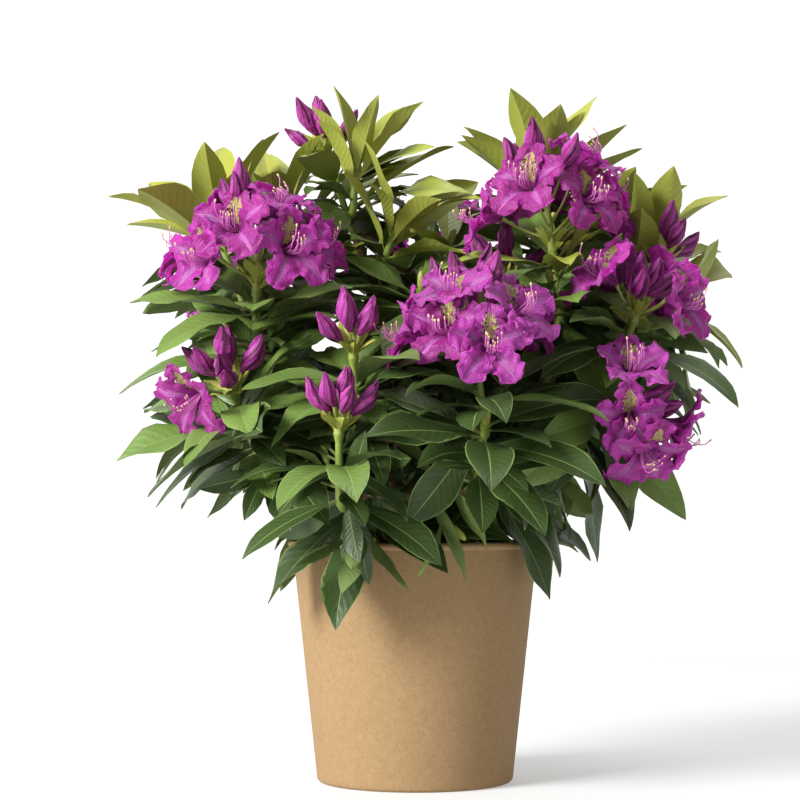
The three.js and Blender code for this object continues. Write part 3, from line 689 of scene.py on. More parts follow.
def material(name, colour, roughness, **settings):
    """A new material, with its tree and its shader, whose plain settings are set on the sockets."""
    made = bpy.data.materials.new(name)
    made.use_nodes = True
    made.diffuse_color = linear(colour)
    shader = made.node_tree.nodes["Principled BSDF"]
    values = {"Base Color": linear(colour), "Roughness": roughness, **settings}
    for key, value in values.items():
        shader.inputs[key].default_value = value
    return made, made.node_tree, shader


def noise(tree, scale, detail, place=None, **more):
    """A noise, in the plant's own space in metres or in another that is given."""
    place = add(tree, "ShaderNodeTexCoord").outputs["Object"] if place is None else place
    return add(tree, "ShaderNodeTexNoise", {"Scale": scale, "Detail": detail, "Vector": place, **more})


def stretched(tree, place, scale):
    """A space drawn out or pressed together along its axes."""
    return add(tree, "ShaderNodeMapping", {"Scale": scale, "Vector": place})


def maths(tree, operation, *values):
    """A step of arithmetic on values, each a number or a node."""
    return add(tree, "ShaderNodeMath", {"operation": operation, **dict(enumerate(values))})


def toned(tree, value, low, high):
    """A colour that runs from one to another, each with its place on the scale."""
    ramp = add(tree, "ShaderNodeValToRGB", {"Fac": value})
    for stop, (place, colour) in zip(ramp.color_ramp.elements, (low, high)):
        stop.position = place
        stop.color = linear(colour)
    return ramp


def join(tree, made, shader, name):
    """Links a node's first output to a socket of the shader."""
    tree.links.new(made.outputs[0], shader.inputs[name])


def raise_relief(tree, shader, height, strength, depth):
    """Lets a value stand out as relief, at most as deep as said in metres."""
    relief = add(tree, "ShaderNodeBump", {"Strength": strength, "Distance": depth, "Height": height})
    join(tree, relief, shader, "Normal")


# Side veins of a leaf: pairs along the blade, how they slant forwards, their depth in metres.
VEINS = dict(pairs=13.0, slant=-2.2, depth=0.0007)
LEAF_WAX = {"IOR": 1.45, "Coat Roughness": 0.32, "Specular IOR Level": 0.4}
# Light that enters a petal comes out again within a few millimetres.
PETAL_GLOW = {"Subsurface Weight": 0.6, "Subsurface Radius": (1.0, 0.35, 0.8), "Subsurface Scale": 0.004}
PETAL_VELVET = {"IOR": 1.4, "Sheen Weight": 0.04, "Specular IOR Level": 0.5}


def leaf_skin(name, colour, roughness, veins, waxy):
    """Living leaf: a waxy skin whose side veins, about 7 mm apart, catch the light as furrows."""
    made, tree, shader = material(name, colour, roughness, **{"Coat Weight": waxy, **LEAF_WAX})
    parts = add(tree, "ShaderNodeSeparateXYZ", {0: add(tree, "ShaderNodeUVMap", {"uv_map": "blade"})})
    slant = maths(tree, "MULTIPLY", maths(tree, "ABSOLUTE", parts), VEINS["slant"])
    along = maths(tree, "MULTIPLY_ADD", parts.outputs[1], VEINS["pairs"], slant)
    wave = maths(tree, "PINGPONG", along, 0.5)
    raise_relief(tree, shader, maths(tree, "MULTIPLY_ADD", noise(tree, 360.0, 3.0), 0.9, wave),
                 veins, VEINS["depth"])
    gloss = add(tree, "ShaderNodeMapRange", {"To Min": roughness - 0.08, "To Max": roughness + 0.1,
                                             "Value": noise(tree, 70.0, 1.0)})
    join(tree, gloss, shader, "Roughness")
    return made


def petal_skin(name, colour):
    """Petal: a soft, slightly velvety skin with fine veins that fan out from the throat."""
    made, tree, shader = material(name, colour, 0.5, **PETAL_VELVET, **PETAL_GLOW)
    blade = add(tree, "ShaderNodeUVMap", {"uv_map": "blade"})
    veins = noise(tree, 1.0, 2.0, stretched(tree, blade, (9, 1.6, 1)))
    crinkle = maths(tree, "MULTIPLY_ADD", noise(tree, 260.0, 3.0), 0.8, veins)
    raise_relief(tree, shader, crinkle, 0.8, 0.0016)
    return made


def grained(name, colour, roughness, scale, depth):
    """A surface with a fine random grain of its own, such as a green stem or an anther."""
    made, tree, shader = material(name, colour, roughness)
    raise_relief(tree, shader, noise(tree, scale, 3.0), 0.6, depth)
    return made


# Blades from the oldest to the youngest, then the ribs, margins, undersides and bud scales: colour,
# roughness, how far the veins stand out, and wax.
BLADES = {key: leaf_skin(*finish) for key, *finish in (
    ("deep", "leaf_deep_green", "#384b23", 0.42, 0.5, 0.1),
    ("dark", "leaf_dark_green", "#5f7837", 0.4, 0.5, 0.12),
    ("mid", "leaf_mid_green", "#67803a", 0.42, 0.5, 0.1),
    ("olive", "leaf_olive_green", "#909a3c", 0.42, 0.45, 0.12),
    ("young", "leaf_young_green", "#8f9737", 0.45, 0.4, 0.1),
    ("fresh", "leaf_fresh_yellow_green", "#929537", 0.48, 0.4, 0.08),
    ("rib", "leaf_rib_pale_green", "#7b8f50", 0.5, 0.1, 0.0),
    ("margin", "leaf_margin_pale_green", "#7a8e50", 0.5, 0.1, 0.0),
    ("young_rib", "leaf_rib_yellow_green", "#a2a850", 0.5, 0.1, 0.0),
    ("under", "leaf_underside_grey_green", "#5d7038", 0.65, 0.5, 0.0),
    ("olive_under", "leaf_underside_olive_green", "#7a843a", 0.62, 0.4, 0.0),
    ("young_under", "leaf_underside_yellow_green", "#90963e", 0.6, 0.4, 0.0),
    ("scale", "bud_scale_pale_green", "#b0b058", 0.5, 0.3, 0.0),
)}
SHADES = list(BLADES)
GREENS = SHADES[:6]

PETALS = {key: petal_skin(name, colour) for key, name, colour in (
    ("petal", "petal_purple", "#9a2285"),
    ("petal_rich", "petal_rich_purple", "#881871"),
    ("petal_light", "petal_light_purple", "#9d2d8c"),
    ("petal_soft", "petal_soft_purple", "#9f358d"),
    ("streak", "petal_streak_pink", "#a64f97"),
    # The throat's dark plum is painted shade deep in the flower's funnel.
    ("throat", "petal_throat_painted_shade", "#781a68"),
    ("halo", "petal_halo_pink", "#b6759a"),
    ("blotch", "petal_blotch_olive_yellow", "#9c8a4a"),
    ("speck", "petal_speck_maroon", "#701536"),
    ("bud", "bud_dark_purple", "#821c6c"),
    # A bud's fold is dark as painted shade in its creases.
    ("bud_fold", "bud_fold_painted_shade", "#560e42"),
    # A bud's ridge is mauve partly for the petals' paler edges and partly as painted highlight.
    ("bud_ridge", "bud_ridge_mauve_and_highlight", "#a33b92"),
)}
TINTS = list(PETALS)

filament_skin = grained("filament_pink", "#c468ae", 0.5, 900, 0.0001)
anther_skin = grained("anther_cream", "#cdb488", 0.8, 900, 0.0002)
stalk_skin = grained("flower_stalk_green", "#8f9a4a", 0.5, 700, 0.0002)
shoot_skin = grained("green_shoot", "#7f9440", 0.5, 500, 0.0003)
terminal_bud_skin = grained("leaf_bud_green", "#9fa84e", 0.5, 600, 0.0002)


def bark():
    """Young bark: grey-brown and dull, with long furrows a few millimetres apart."""
    made, tree, shader = material("bark_grey_brown", "#6a5436", 0.85)
    spot = add(tree, "ShaderNodeTexCoord").outputs["Object"]
    furrows = noise(tree, 420.0, 6.0, stretched(tree, spot, (1, 1, 0.3)))
    join(tree, toned(tree, furrows, (0.35, "#3d2f1e"), (0.68, "#8a744f")), shader, "Base Color")
    raise_relief(tree, shader, furrows, 0.8, 0.0008)
    return made


def kraft():
    """Kraft paperboard: warm brown and dull, with a cloudy felt of fibres and a few dark flecks."""
    made, tree, shader = material("kraft_paperboard", "#c69c6d", 0.82, **{"Specular IOR Level": 0.3})
    spot = add(tree, "ShaderNodeTexCoord").outputs["Object"]
    cloud = maths(tree, "MULTIPLY", noise(tree, 210.0, 6.0, spot, Roughness=0.7), 0.4)
    # Real fibres are finer than a tenth of a millimetre: these are drawn coarser, to show.
    laid = stretched(tree, spot, (1, 1, 0.6))
    felt = maths(tree, "MULTIPLY_ADD", noise(tree, 1100.0, 4.0, laid, Roughness=0.7), 0.6, cloud)
    fleck = add(tree, "ShaderNodeTexVoronoi", {"Scale": 260.0, "Vector": laid})
    dot = add(tree, "ShaderNodeMapRange", {"From Min": 0.06, "From Max": 0.13, "To Min": 0.55,
                                           "To Max": 0.0, "Value": fleck})
    flecked = add(tree, "ShaderNodeMix", {"data_type": "RGBA", 0: dot, 7: linear("#5f472b"),
                                          6: toned(tree, felt, (0.33, "#876b4a"), (0.67, "#9f835d"))})
    tree.links.new(flecked.outputs[2], shader.inputs["Base Color"])
    raise_relief(tree, shader, felt, 0.35, 0.0003)
    return made


def compost():
    """Moist potting soil: nearly black, with paler bits of bark and peat."""
    made, tree, shader = material("potting_soil", "#3a2a1d", 0.95)
    bits = noise(tree, 300.0, 6.0)
    join(tree, toned(tree, bits, (0.4, "#21170f"), (0.7, "#5d4630")), shader, "Base Color")
    raise_relief(tree, shader, bits, 1.0, 0.001)
    return made


bark_skin, kraft_skin, soil_skin = bark(), kraft(), compost()

# ---- Meshes --------------------------------------------------------------------------------

MASS_NODES = list(MASSES)
LIMB_NODES = ["trunk", *BOUGHS]


def set_up(name, data):
    """An object of the scene that shows a mesh, a lamp or a camera."""
    made = bpy.data.objects.new(name, data)
    scene.collection.objects.link(made)
    return made


def piece(name, mesh, nodes):
    """Makes a finished mesh a piece of the plant that stands for its solids."""
    made = set_up(name, mesh)
    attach(made, "root")
    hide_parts(*nodes)


class Heap:
    """Gathers many small closed shapes of one kind into one mesh, with a finish for each face."""

    def __init__(self):
        self.points, self.corners, self.sizes, self.finishes, self.places = [], [], [], [], []
        self.count = 0

    def add(self, points, cut, finishes):
        """Adds a tube of rings, cut by a pattern, with a finish for each of its strips and ends."""
        self.points.append(points.reshape(-1, 3))
        self.corners.append(cut["corners"] + self.count)
        self.sizes.append(cut["sizes"])
        self.finishes.append(np.concatenate((np.repeat(finishes[:-2], 2), finishes[-2:])))
        self.places.append(cut["place"][cut["corners"]])
        self.count += points.shape[0] * points.shape[1]

    def mesh(self, name, materials, crisp_deg):
        """All that was added as one mesh, whose edges look crisp from an angle on."""
        made = bpy.data.meshes.new(name)
        points, corners = np.concatenate(self.points) * MM, np.concatenate(self.corners)
        sizes = np.concatenate(self.sizes)
        made.vertices.add(len(points))
        made.vertices.foreach_set("co", points.astype(np.float32).ravel())
        made.loops.add(len(corners))
        made.loops.foreach_set("vertex_index", corners.astype(np.int32))
        made.polygons.add(len(sizes))
        made.polygons.foreach_set("loop_start", (np.cumsum(sizes) - sizes).astype(np.int32))
        for one in materials:
            made.materials.append(one)
        made.polygons.foreach_set("material_index", np.concatenate(self.finishes).astype(np.int32))
        made.update(calc_edges=True)
        blade = made.uv_layers.new(name="blade")
        blade.data.foreach_set("uv", np.concatenate(self.places).astype(np.float32).ravel())
        made.shade_smooth()
        made.set_sharp_from_angle(angle=math.radians(crisp_deg))
        made.validate()
        return made


def heap_piece(name, heap, finishes, crisp_deg=55):
    """Makes a piece of the crown from all that a heap holds."""
    piece(name, heap.mesh(name, list(finishes.values()), crisp_deg), MASS_NODES)


def pattern(rings, sides, across, along, upper=0):
    """A closed tube of rings as triangles and two end faces, and where its points stand on a blade.

    The strips past the upper skin are split along the other diagonal, so both skins bend alike.
    """
    i, j = np.meshgrid(np.arange(rings - 1), np.arange(sides), indexing="ij")
    k = (j + 1) % sides
    a, b, c, d = i * sides + j, i * sides + k, (i + 1) * sides + k, (i + 1) * sides + j
    below = (j >= upper - 1)[..., None]
    first = np.where(below, np.stack((a, b, d), axis=-1), np.stack((a, b, c), axis=-1))
    second = np.where(below, np.stack((b, c, d), axis=-1), np.stack((a, c, d), axis=-1))
    caps = (np.arange(sides)[::-1], np.arange((rings - 1) * sides, rings * sides))
    return dict(corners=np.concatenate((np.stack((first, second), axis=2).ravel(), *caps)),
                sizes=np.concatenate((np.full(2 * (rings - 1) * sides, 3), (sides, sides))),
                place=np.array([(x, y) for y in along for x in across]))


# ---- Leaves --------------------------------------------------------------------------------

# How fresh each kind of leaf is, as a place among the greens, with the hanging leaves' low place painted
# shade under the crown, and how far it is folded.
FRESHNESS_AND_SHADE = dict(young=5.2, rising=4.7, mature=2.6, spread=1.7, old=1.5, hanging=0.5, inner=1.8, side=2.0)
FOLDS = dict(young=0.34, rising=0.3, mature=0.2, spread=0.22, old=0.12, hanging=0.16, inner=0.2,
             side=0.25, scale=0.4)
# Leaves get lighter greens the higher they grow, partly as fresher growth and partly as painted light from
# above, and darker ones below the middle, partly as older growth and partly as painted shade: one shade for
# so many millimetres, above and below the middle.
CROWN_AGE_LIGHT_AND_SHADE = dict(middle=330, shade_above=120, shade_below=52)
SMALL = ("inner", "side", "scale")
STALK_SHARE = 0.1
STALK_END = 0.12
SCALES = dict(count=8, lean=(24, 74), length=(15, 26), slim=0.42, apart=1.5)


def leaf_cut(shares, upper, lower, tints):
    """How a leaf is cut: rings along it, points across its upper and lower skins, a tint for each strip."""
    shares = np.array(shares)
    blade = np.clip((shares - STALK_SHARE) / (1 - STALK_SHARE), 0, 1) ** 1.08
    halves = np.abs(np.sin(np.pi * blade)) ** 0.72 * (1 - 0.45 * blade**6)
    sides = len(upper) + len(lower)
    cut = pattern(len(shares), sides, np.array(upper + lower), shares, len(upper))
    stalk = (shares[1:] < STALK_END)[:, None]
    cut["tints"] = np.concatenate((np.where(stalk, RIB, np.array(tints)[None, :]).ravel(), (RIB, BLADE)))
    return {**cut, "shares": shares, "halves": halves, "upper": np.array(upper), "lower": np.array(lower)}


BLADE, RIB, UNDER, MARGIN = 0, 1, 2, 3
LARGE_LEAF = leaf_cut(
    (0, 0.05, 0.1, 0.14, 0.21, 0.31, 0.42, 0.53, 0.64, 0.74, 0.83, 0.9, 0.955, 1),
    (-1, -0.95, -0.5, -0.03, 0.03, 0.5, 0.95, 1), (0.5, 0, -0.5),
    (MARGIN, BLADE, BLADE, RIB, BLADE, BLADE, MARGIN, UNDER, UNDER, UNDER, UNDER))
SMALL_LEAF = leaf_cut(
    (0, 0.1, 0.15, 0.28, 0.45, 0.62, 0.78, 0.91, 1), (-1, -0.5, -0.035, 0.035, 0.5, 1), (0,),
    (BLADE, BLADE, RIB, BLADE, BLADE, UNDER, UNDER))


def leaf_rings(leaf, cut, draw):
    """A leaf as rings of points: folded at the rib, arched in each half, wavy at the margin, twisted."""
    points, faces = midrib(leaf)
    at, shares = np.linspace(0, 1, LEAF["bends"] + 1), cut["shares"]
    middle, face = (np.stack([np.interp(shares, at, of[:, i]) for i in range(3)], axis=1)
                    for of in (points, faces))
    least = np.where(shares < STALK_END, 0.9, 0.15)
    half = np.maximum(leaf["width"] / 2 * cut["halves"], least)[:, None]
    body = cut["halves"][:, None]
    fold = FOLDS[leaf["kind"]] * draw(0.6, 1.4)
    swing = draw(0.03, 0.11) * leaf["width"] / 2
    tempo, phase = draw(7, 13), ROUND * draw()
    twist, arch = draw(-0.5, 0.5), draw(0.1, 0.5)

    def height(u):
        out = np.abs(u)
        wave = np.sin(shares[:, None] * tempo + phase + np.where(u > 0, 1.9, 0)) * swing
        return half * (fold * out + arch * (out - out**2)) + 2.2 * wave * out**2.2 * body

    upper, lower = cut["upper"][None, :], cut["lower"][None, :]
    rise = height(upper)
    for near, far, j in ((2, 0, 1), (5, 7, 6)) if len(cut["upper"]) == 8 else ():
        rise[:, j] = mix(rise[:, near], rise[:, far], 0.86)
    thick = 0.5 + (1 - body) * np.where(shares < 0.2, 0.7, 0)[:, None]
    under = height(lower) - thick - np.where(lower == 0, 0.55, 0) * (0.3 + 0.7 * body)
    x, z = np.concatenate((upper, lower), axis=1) * half, np.concatenate((rise, under), axis=1)
    turn = twist * shares[:, None] ** 2
    x, z = x * np.cos(turn) - z * np.sin(turn), x * np.sin(turn) + z * np.cos(turn)
    rings = middle[:, None] + face[:, None] * z[..., None]
    rings[..., 0] += x
    return placed(rings, leaf["root"], leaf["way"], leaf["face"])


def leaf_finishes(cut, shade):
    """The finish of each strip of a leaf of one shade."""
    tender = shade in ("young", "fresh", "scale")
    chosen = [shade, "young_rib" if tender else "rib",
              "young_under" if tender else "olive_under" if shade == "olive" else "under",
              "young_rib" if tender else "margin"]
    return np.array([SHADES.index(one) for one in chosen])[cut["tints"]]


large, small = Heap(), Heap()
for n, leaf in enumerate(leaves):
    spray = source(leaf["seed"] * 53 + leaf["whorl"] * 17 + 1)
    own = source(n * 97 + 13)
    # Painted light and shade, on top of each leaf's age: lighter greens high in the crown, darker ones low
    # down.
    over = leaf["root"][2] - CROWN_AGE_LIGHT_AND_SHADE["middle"]
    height = over / (CROWN_AGE_LIGHT_AND_SHADE["shade_above"] if over > 0 else CROWN_AGE_LIGHT_AND_SHADE["shade_below"])
    fresh = FRESHNESS_AND_SHADE[leaf["kind"]] + height + 1.3 * (spray() - 0.5) + 1.5 * (own() - 0.5)
    shade = GREENS[int(min(len(GREENS) - 1, max(0, fresh)))]
    heap, cut = (small, SMALL_LEAF) if leaf["kind"] in SMALL else (large, LARGE_LEAF)
    heap.add(leaf_rings(leaf, cut, own), cut, leaf_finishes(cut, shade))

# Bud scales round the foot of each truss.
for shoot in trussed:
    draw = source(shoot["seed"] * 271 + 9)
    for k in range(SCALES["count"]):
        lean, turn = draw(*SCALES["lean"]), 45 * k + 30 * draw()
        way = leaning(shoot["aim"], lean, turn)
        length = draw(*SCALES["length"])
        root = shoot["tip"] + shoot["aim"] * (SCALES["apart"] * (k % 3)) + way * SCALES["apart"]
        scale = dict(root=root, way=way, face=leaning(shoot["aim"], lean - 90, turn), length=length,
                     width=length * SCALES["slim"], sag=0.1, curl=-0.3 * draw(), kind="scale")
        small.add(leaf_rings(scale, SMALL_LEAF, draw), SMALL_LEAF, leaf_finishes(SMALL_LEAF, "scale"))
heap_piece("leaves", large, BLADES)
heap_piece("small_leaves", small, BLADES)

# ---- Flowers -------------------------------------------------------------------------------

# Each of the five petals: how far it flares from the flower's axis in degrees, and its length. The
# first is the upper one, and the third and fourth are the lower ones.
PETAL_FLARE = (94, 82, 82, 82, 82)
PETAL_LENGTH = (36, 37, 42, 42, 37)
SOFT_EDGE_DEG = 80
# Along a petal from the throat to its tip, half its width.
PETAL_AT = (0, 0.12, 0.25, 0.4, 0.5, 0.6, 0.7, 0.8, 0.88, 0.95, 1)
PETAL_HALF = (1.2, 2.4, 4.4, 7.4, 9.2, 10.4, 11.0, 10.8, 9.6, 7.0, 2.6)
THROAT_RADIUS = 1.6
PETAL_STEPS = 60
# Heights over a petal's skin: its own underside, and the top and underside of what lies on it.
PETAL_THICK = 0.35
STREAK_LIFT = (0.12, -0.2)
BLOTCH_LIFT = (0.14, -0.2)
SPECK_LIFT = (-0.1, 0.26)
SPECKS = dict(count=64, sides=5, radius=(0.4, 0.65), along=(0.34, 0.9))
STAMENS = dict(count=10, length=(20, 30), radius=0.3, anther=0.75, steps=8)
STYLE = dict(length=34, radius=0.38, stigma=1.0)


def smooth(share):
    """An even climb from 0 to 1 that starts and ends level."""
    share = np.clip(share, 0, 1)
    return share * share * (3 - 2 * share)


def in_flower(floret, points):
    """Points of a flower from its own frame, with y the way it faces, in place."""
    facing = floret["facing"]
    return placed(points * floret["size"], floret["heart"], facing, upper_of(facing))


def new_petal(floret, k, draw):
    """One petal's own shape: its middle line and its waves, a little different each time."""
    rise = np.linspace(0, 1, PETAL_STEPS)
    flare = math.radians(PETAL_FLARE[k] + 34 * (draw() - 0.5))
    lean = mix(0.3, flare, smooth(rise * 1.15)) + draw(-0.4, 0.9) * rise**3
    step = PETAL_LENGTH[k] * draw(0.93, 1.07) / (PETAL_STEPS - 1)
    return dict(
        turn=math.radians(72 * k + 8 * (draw() - 0.5)), rise=rise, lean=lean,
        radius=THROAT_RADIUS + np.cumsum(np.sin(lean) * step), height=np.cumsum(np.cos(lean) * step),
        wide=draw(0.94, 1.1), cup=draw(-0.6, 1.4), tilt=draw(-1.6, 1.6),
        waves=[(draw(1.8, 3.6), draw(13, 22), ROUND * draw()) for _ in range(2)],
        crisp=(draw(0.7, 1.4), draw(30, 44), ROUND * draw()),
        ragged=(draw(0.08, 0.16), draw(30, 48), ROUND * draw()), floret=floret)


def petal_points(petal, u, v, lift):
    """Points on a petal: u runs across it from -1 to 1, v from the throat to its tip."""
    radius, height, lean = (np.interp(v, petal["rise"], petal[key]) for key in ("radius", "height", "lean"))
    edge = np.abs(u)
    cut, tempo, phase = petal["ragged"]
    ragged = 1 + cut * edge * np.sin(v * tempo + np.sign(u) + phase)
    half = np.interp(v, PETAL_AT, PETAL_HALF) * petal["wide"] * ragged
    wave = np.where(u < 0, *(size * np.sin(v * tempo + phase) for size, tempo, phase in petal["waves"]))
    size, tempo, phase = petal["crisp"]
    open_part = smooth((v - 0.3) / 0.35)
    frill = edge**1.5 * open_part * (wave + size * np.sin(v * tempo + u * 5 + phase))
    frill = frill + open_part * v**2 * 0.8 * np.sin(u * 7 + tempo)
    groove = -1.3 * np.exp(-((u / 0.18) ** 2)) * np.sin(np.pi * v)
    off = lift + frill + groove + petal["cup"] * edge**2 * np.sin(np.pi * v) * 1.6
    off = off + petal["tilt"] * u * smooth(v)
    wrap = radius * (1 + 2.2 * smooth((v - 0.35) / 0.6))
    turned = u * half / wrap
    out = radius - wrap * (1 - np.cos(turned)) - off * np.cos(lean)
    level = wrap * np.sin(turned)
    sine, cosine = math.sin(petal["turn"]), math.cos(petal["turn"])
    local = np.stack((out * sine + level * cosine, height + off * np.sin(lean),
                      out * cosine - level * sine), axis=-1)
    return in_flower(petal["floret"], local)


def sheet_cut(rows, reach, columns):
    """How a sheet on a petal is cut: rows up it, how far it reaches across in each, and columns."""
    rows, reach = np.array(rows), np.array(reach)
    across = np.linspace(1, -1, columns)
    u = reach[:, None] * np.concatenate((across, across[::-1]))[None, :]
    cut = pattern(len(rows), 2 * columns, across, rows, columns)
    cut["place"] = np.stack((u, np.repeat(rows[:, None], 2 * columns, axis=1)), axis=-1).reshape(-1, 2)
    return {**cut, "u": u, "v": rows[:, None] + 0 * u, "columns": columns}


def add_sheet(heap, petal, cut, tints, top, below):
    """Lays a thin closed sheet on a petal, between two heights over its skin."""
    lift = np.where(np.arange(2 * cut["columns"]) < cut["columns"], top, below)[None, :]
    heap.add(petal_points(petal, cut["u"], cut["v"], lift), cut, tints)


THROAT_ROWS = np.linspace(0, 0.34, 4)
LOBE_ROWS = np.linspace(0.4, 1, 17)
STREAK_ROWS = np.linspace(0.3, 0.93, 10)
BLOTCH_ROWS = np.linspace(0.2, 0.8, 10)
PETAL_COLUMNS = 9
PETAL_CUT = sheet_cut(np.concatenate((THROAT_ROWS, LOBE_ROWS)), np.ones(21), PETAL_COLUMNS)
STREAK_CUT = sheet_cut(STREAK_ROWS, 0.02 + 0.34 * np.sin(np.pi * np.linspace(0.04, 0.98, 10)) ** 0.8, 5)
BLOTCH_CUT = sheet_cut(BLOTCH_ROWS, np.interp(BLOTCH_ROWS, (0.2, 0.4, 0.6, 0.8), (0.85, 0.85, 0.6, 0.08)), 8)
SPECK_CUT = pattern(2, SPECKS["sides"], np.zeros(SPECKS["sides"]), (0, 1))


def tint_list(cut, upper, lower):
    """A tint for each strip of a sheet: the upper skin's tints across it, then the lower skin's one."""
    strips = [*upper, lower] + [lower] * (len(upper) + 1)
    return np.array([TINTS.index(one) for one in strips * (len(cut["v"]) - 1) + [lower, lower]])


def petal_tints(body):
    """One tint all over a petal, but for its throat, which is darker as painted shade."""
    tints = tint_list(PETAL_CUT, [body] * (PETAL_COLUMNS - 1), body)
    tints[: (len(THROAT_ROWS) - 1) * 2 * PETAL_COLUMNS] = TINTS.index("throat")
    return tints


def add_speck(heap, petal, u, v, radius):
    """A small dark dot on a petal's skin."""
    turns = turns_of(SPECKS["sides"])
    across = radius / np.interp(v, PETAL_AT, PETAL_HALF) * np.sin(turns)
    along = radius / 42 * 1.3 * np.cos(turns)
    rings = np.stack([petal_points(petal, u + across, v + along, lift) for lift in SPECK_LIFT])
    heap.add(rings, SPECK_CUT, np.full(SPECKS["sides"] + 2, TINTS.index("speck")))


def mark_upper_petal(heap, petal, draw):
    """The blotch with its pale halo, and specks scattered over it and beside it."""
    blotch = tint_list(BLOTCH_CUT, ["halo", *["blotch"] * 5, "halo"], "halo")
    add_sheet(heap, petal, BLOTCH_CUT, blotch, *BLOTCH_LIFT)
    for _ in range(SPECKS["count"]):
        v = draw(*SPECKS["along"])
        u = np.interp(v, (0.34, 0.6, 0.9), (0.82, 0.72, 0.2)) * draw(0.35, 1)
        u *= 1 if draw() < 0.5 else -1
        add_speck(heap, petal, u, v, draw(*SPECKS["radius"]))


def stamen_path(floret, swing, reach, draw):
    """A stamen's line, which leaves the throat low and curves up towards its tip."""
    t = np.linspace(0, 1, STAMENS["steps"])
    side = math.sin(swing) * draw(5, 8)
    hang = -9 * np.sin(np.pi * t * 0.62) * math.cos(swing)
    return in_flower(floret, np.stack((side * np.sin(np.pi * t * 0.6), 2 + reach * np.sin(np.pi * t * 0.46),
                                       hang + draw(5, 11) * t**4), axis=1))


blooms, marks = {"petals_front": Heap(), "petals_back": Heap()}, Heap()
lines_of_stamens, anthers = [], []
STREAKS = dict(petal="petal_soft", petal_rich="petal", petal_light="petal_soft")
for n, floret in enumerate(f for f in florets if f["open"]):
    draw = source(n * 389 + 17)
    body = ("petal", "petal", "petal_rich", "petal_light")[int(draw() * 4)]
    floret["heart"] = floret["foot"] + floret["way"] * floret["stalk"]
    floret["facing"] = unit(floret["way"] - UP * draw(0.2, 0.55) * (1 - abs(floret["way"][2]) * 0.3))
    soft = STREAKS[body]
    streak = tint_list(STREAK_CUT, [soft, "streak", "streak", soft], soft)
    bloom = blooms["petals_front" if floret["foot"][1] < 0 else "petals_back"]
    for k in range(len(PETAL_FLARE)):
        petal = new_petal(floret, k, draw)
        add_sheet(bloom, petal, PETAL_CUT, petal_tints(body), 0, -PETAL_THICK)
        if k == 0:
            mark_upper_petal(marks, petal, draw)
        else:
            add_sheet(marks, petal, STREAK_CUT, streak, *STREAK_LIFT)
    for k in range(STAMENS["count"] + 1):
        is_style = k == STAMENS["count"]
        swing = mix(-1.2, 1.2, (k + draw()) / (STAMENS["count"] + 1))
        reach = STYLE["length"] if is_style else draw(*STAMENS["length"])
        path = stamen_path(floret, swing, reach, draw)
        radius = STYLE["radius"] if is_style else STAMENS["radius"]
        lines_of_stamens.append((path, np.full(STAMENS["steps"], radius)))
        anthers.append((path[-1], STYLE["stigma"] if is_style else STAMENS["anther"],
                        unit(path[-1] - path[-2])))
for name, heap in (*blooms.items(), ("petal_marks", marks)):
    heap_piece(name, heap, PETALS, SOFT_EDGE_DEG)

# Along a bud: the share of its length and of its radius. Its five petals are rolled round it.
BUD_ALONG = np.array((0, 0.06, 0.15, 0.26, 0.38, 0.5, 0.61, 0.72, 0.82, 0.91, 0.97, 1.0))
BUD_SWELL = np.array((0.26, 0.4, 0.6, 0.82, 0.96, 0.98, 0.88, 0.7, 0.5, 0.3, 0.16, 0.05))
BUD_SIDES = 15
BUD_CUT = pattern(len(BUD_ALONG), BUD_SIDES, np.linspace(-1, 1, BUD_SIDES), BUD_ALONG)
BUD_TINTS = [TINTS.index(one) for one in ("bud_fold", "bud", "bud_ridge")]


def bud_tints(draw):
    """A tint for each strip of a bud: each fold, dark as painted shade, and each ridge, mauve partly for the
    petals' paler edges and partly as painted highlight, starts and ends at a place of its own.
    """
    rows = np.tile(BUD_TINTS, (len(BUD_ALONG) - 1, BUD_SIDES // 3))
    for j in range(BUD_SIDES):
        rows[: int(5 * draw()), j] = BUD_TINTS[1]
        rows[6 + int(6 * draw()) :, j] = BUD_TINTS[int(2 * draw())]
    return np.append(rows.ravel(), (BUD_TINTS[1], BUD_TINTS[0]))


def bud_rings(floret, draw):
    """A closed flower: five petals that are rolled round one another, puckered, on a bowed middle."""
    foot = floret["foot"] + floret["way"] * floret["stalk"]
    turns = turns_of(BUD_SIDES)
    twist, size = draw(1.0, 2.0), floret["size"] * draw(0.74, 1.0)
    angle = turns[None, :] + (BUD_ALONG * twist + ROUND * draw())[:, None]
    step = np.tile((-0.2, 0.0, 0.17), 5)[None, :] * (0.4 + 0.9 * BUD_ALONG)[:, None]
    step = step * (1 + 0.7 * np.cos(turns * 2 + ROUND * draw()))
    tempo = draw(24, 38)
    pucker = 0.09 * np.sin(BUD_ALONG * tempo + ROUND * draw())[:, None] * np.cos(turns * 3 + ROUND * draw())
    radius = BUD["radius"] * 0.95 * size * BUD_SWELL[:, None] * (1 + step + pucker)
    bow = draw(0.5, 3.0) * np.sin(np.pi * BUD_ALONG)[:, None]
    rings = np.stack((radius * np.sin(angle), BUD["length"] * size * BUD_ALONG[:, None] + 0 * radius,
                      radius * np.cos(angle) - bow), axis=-1)
    return placed(rings, foot, floret["way"], upper_of(floret["way"]))


closed = Heap()
for n, floret in enumerate(f for f in florets if not f["open"]):
    draw = source(n * 577 + 29)
    closed.add(bud_rings(floret, draw), BUD_CUT, bud_tints(draw))
heap_piece("flower_buds", closed, PETALS, SOFT_EDGE_DEG)

# ---- Limbs, by nodes -----------------------------------------------------------------------

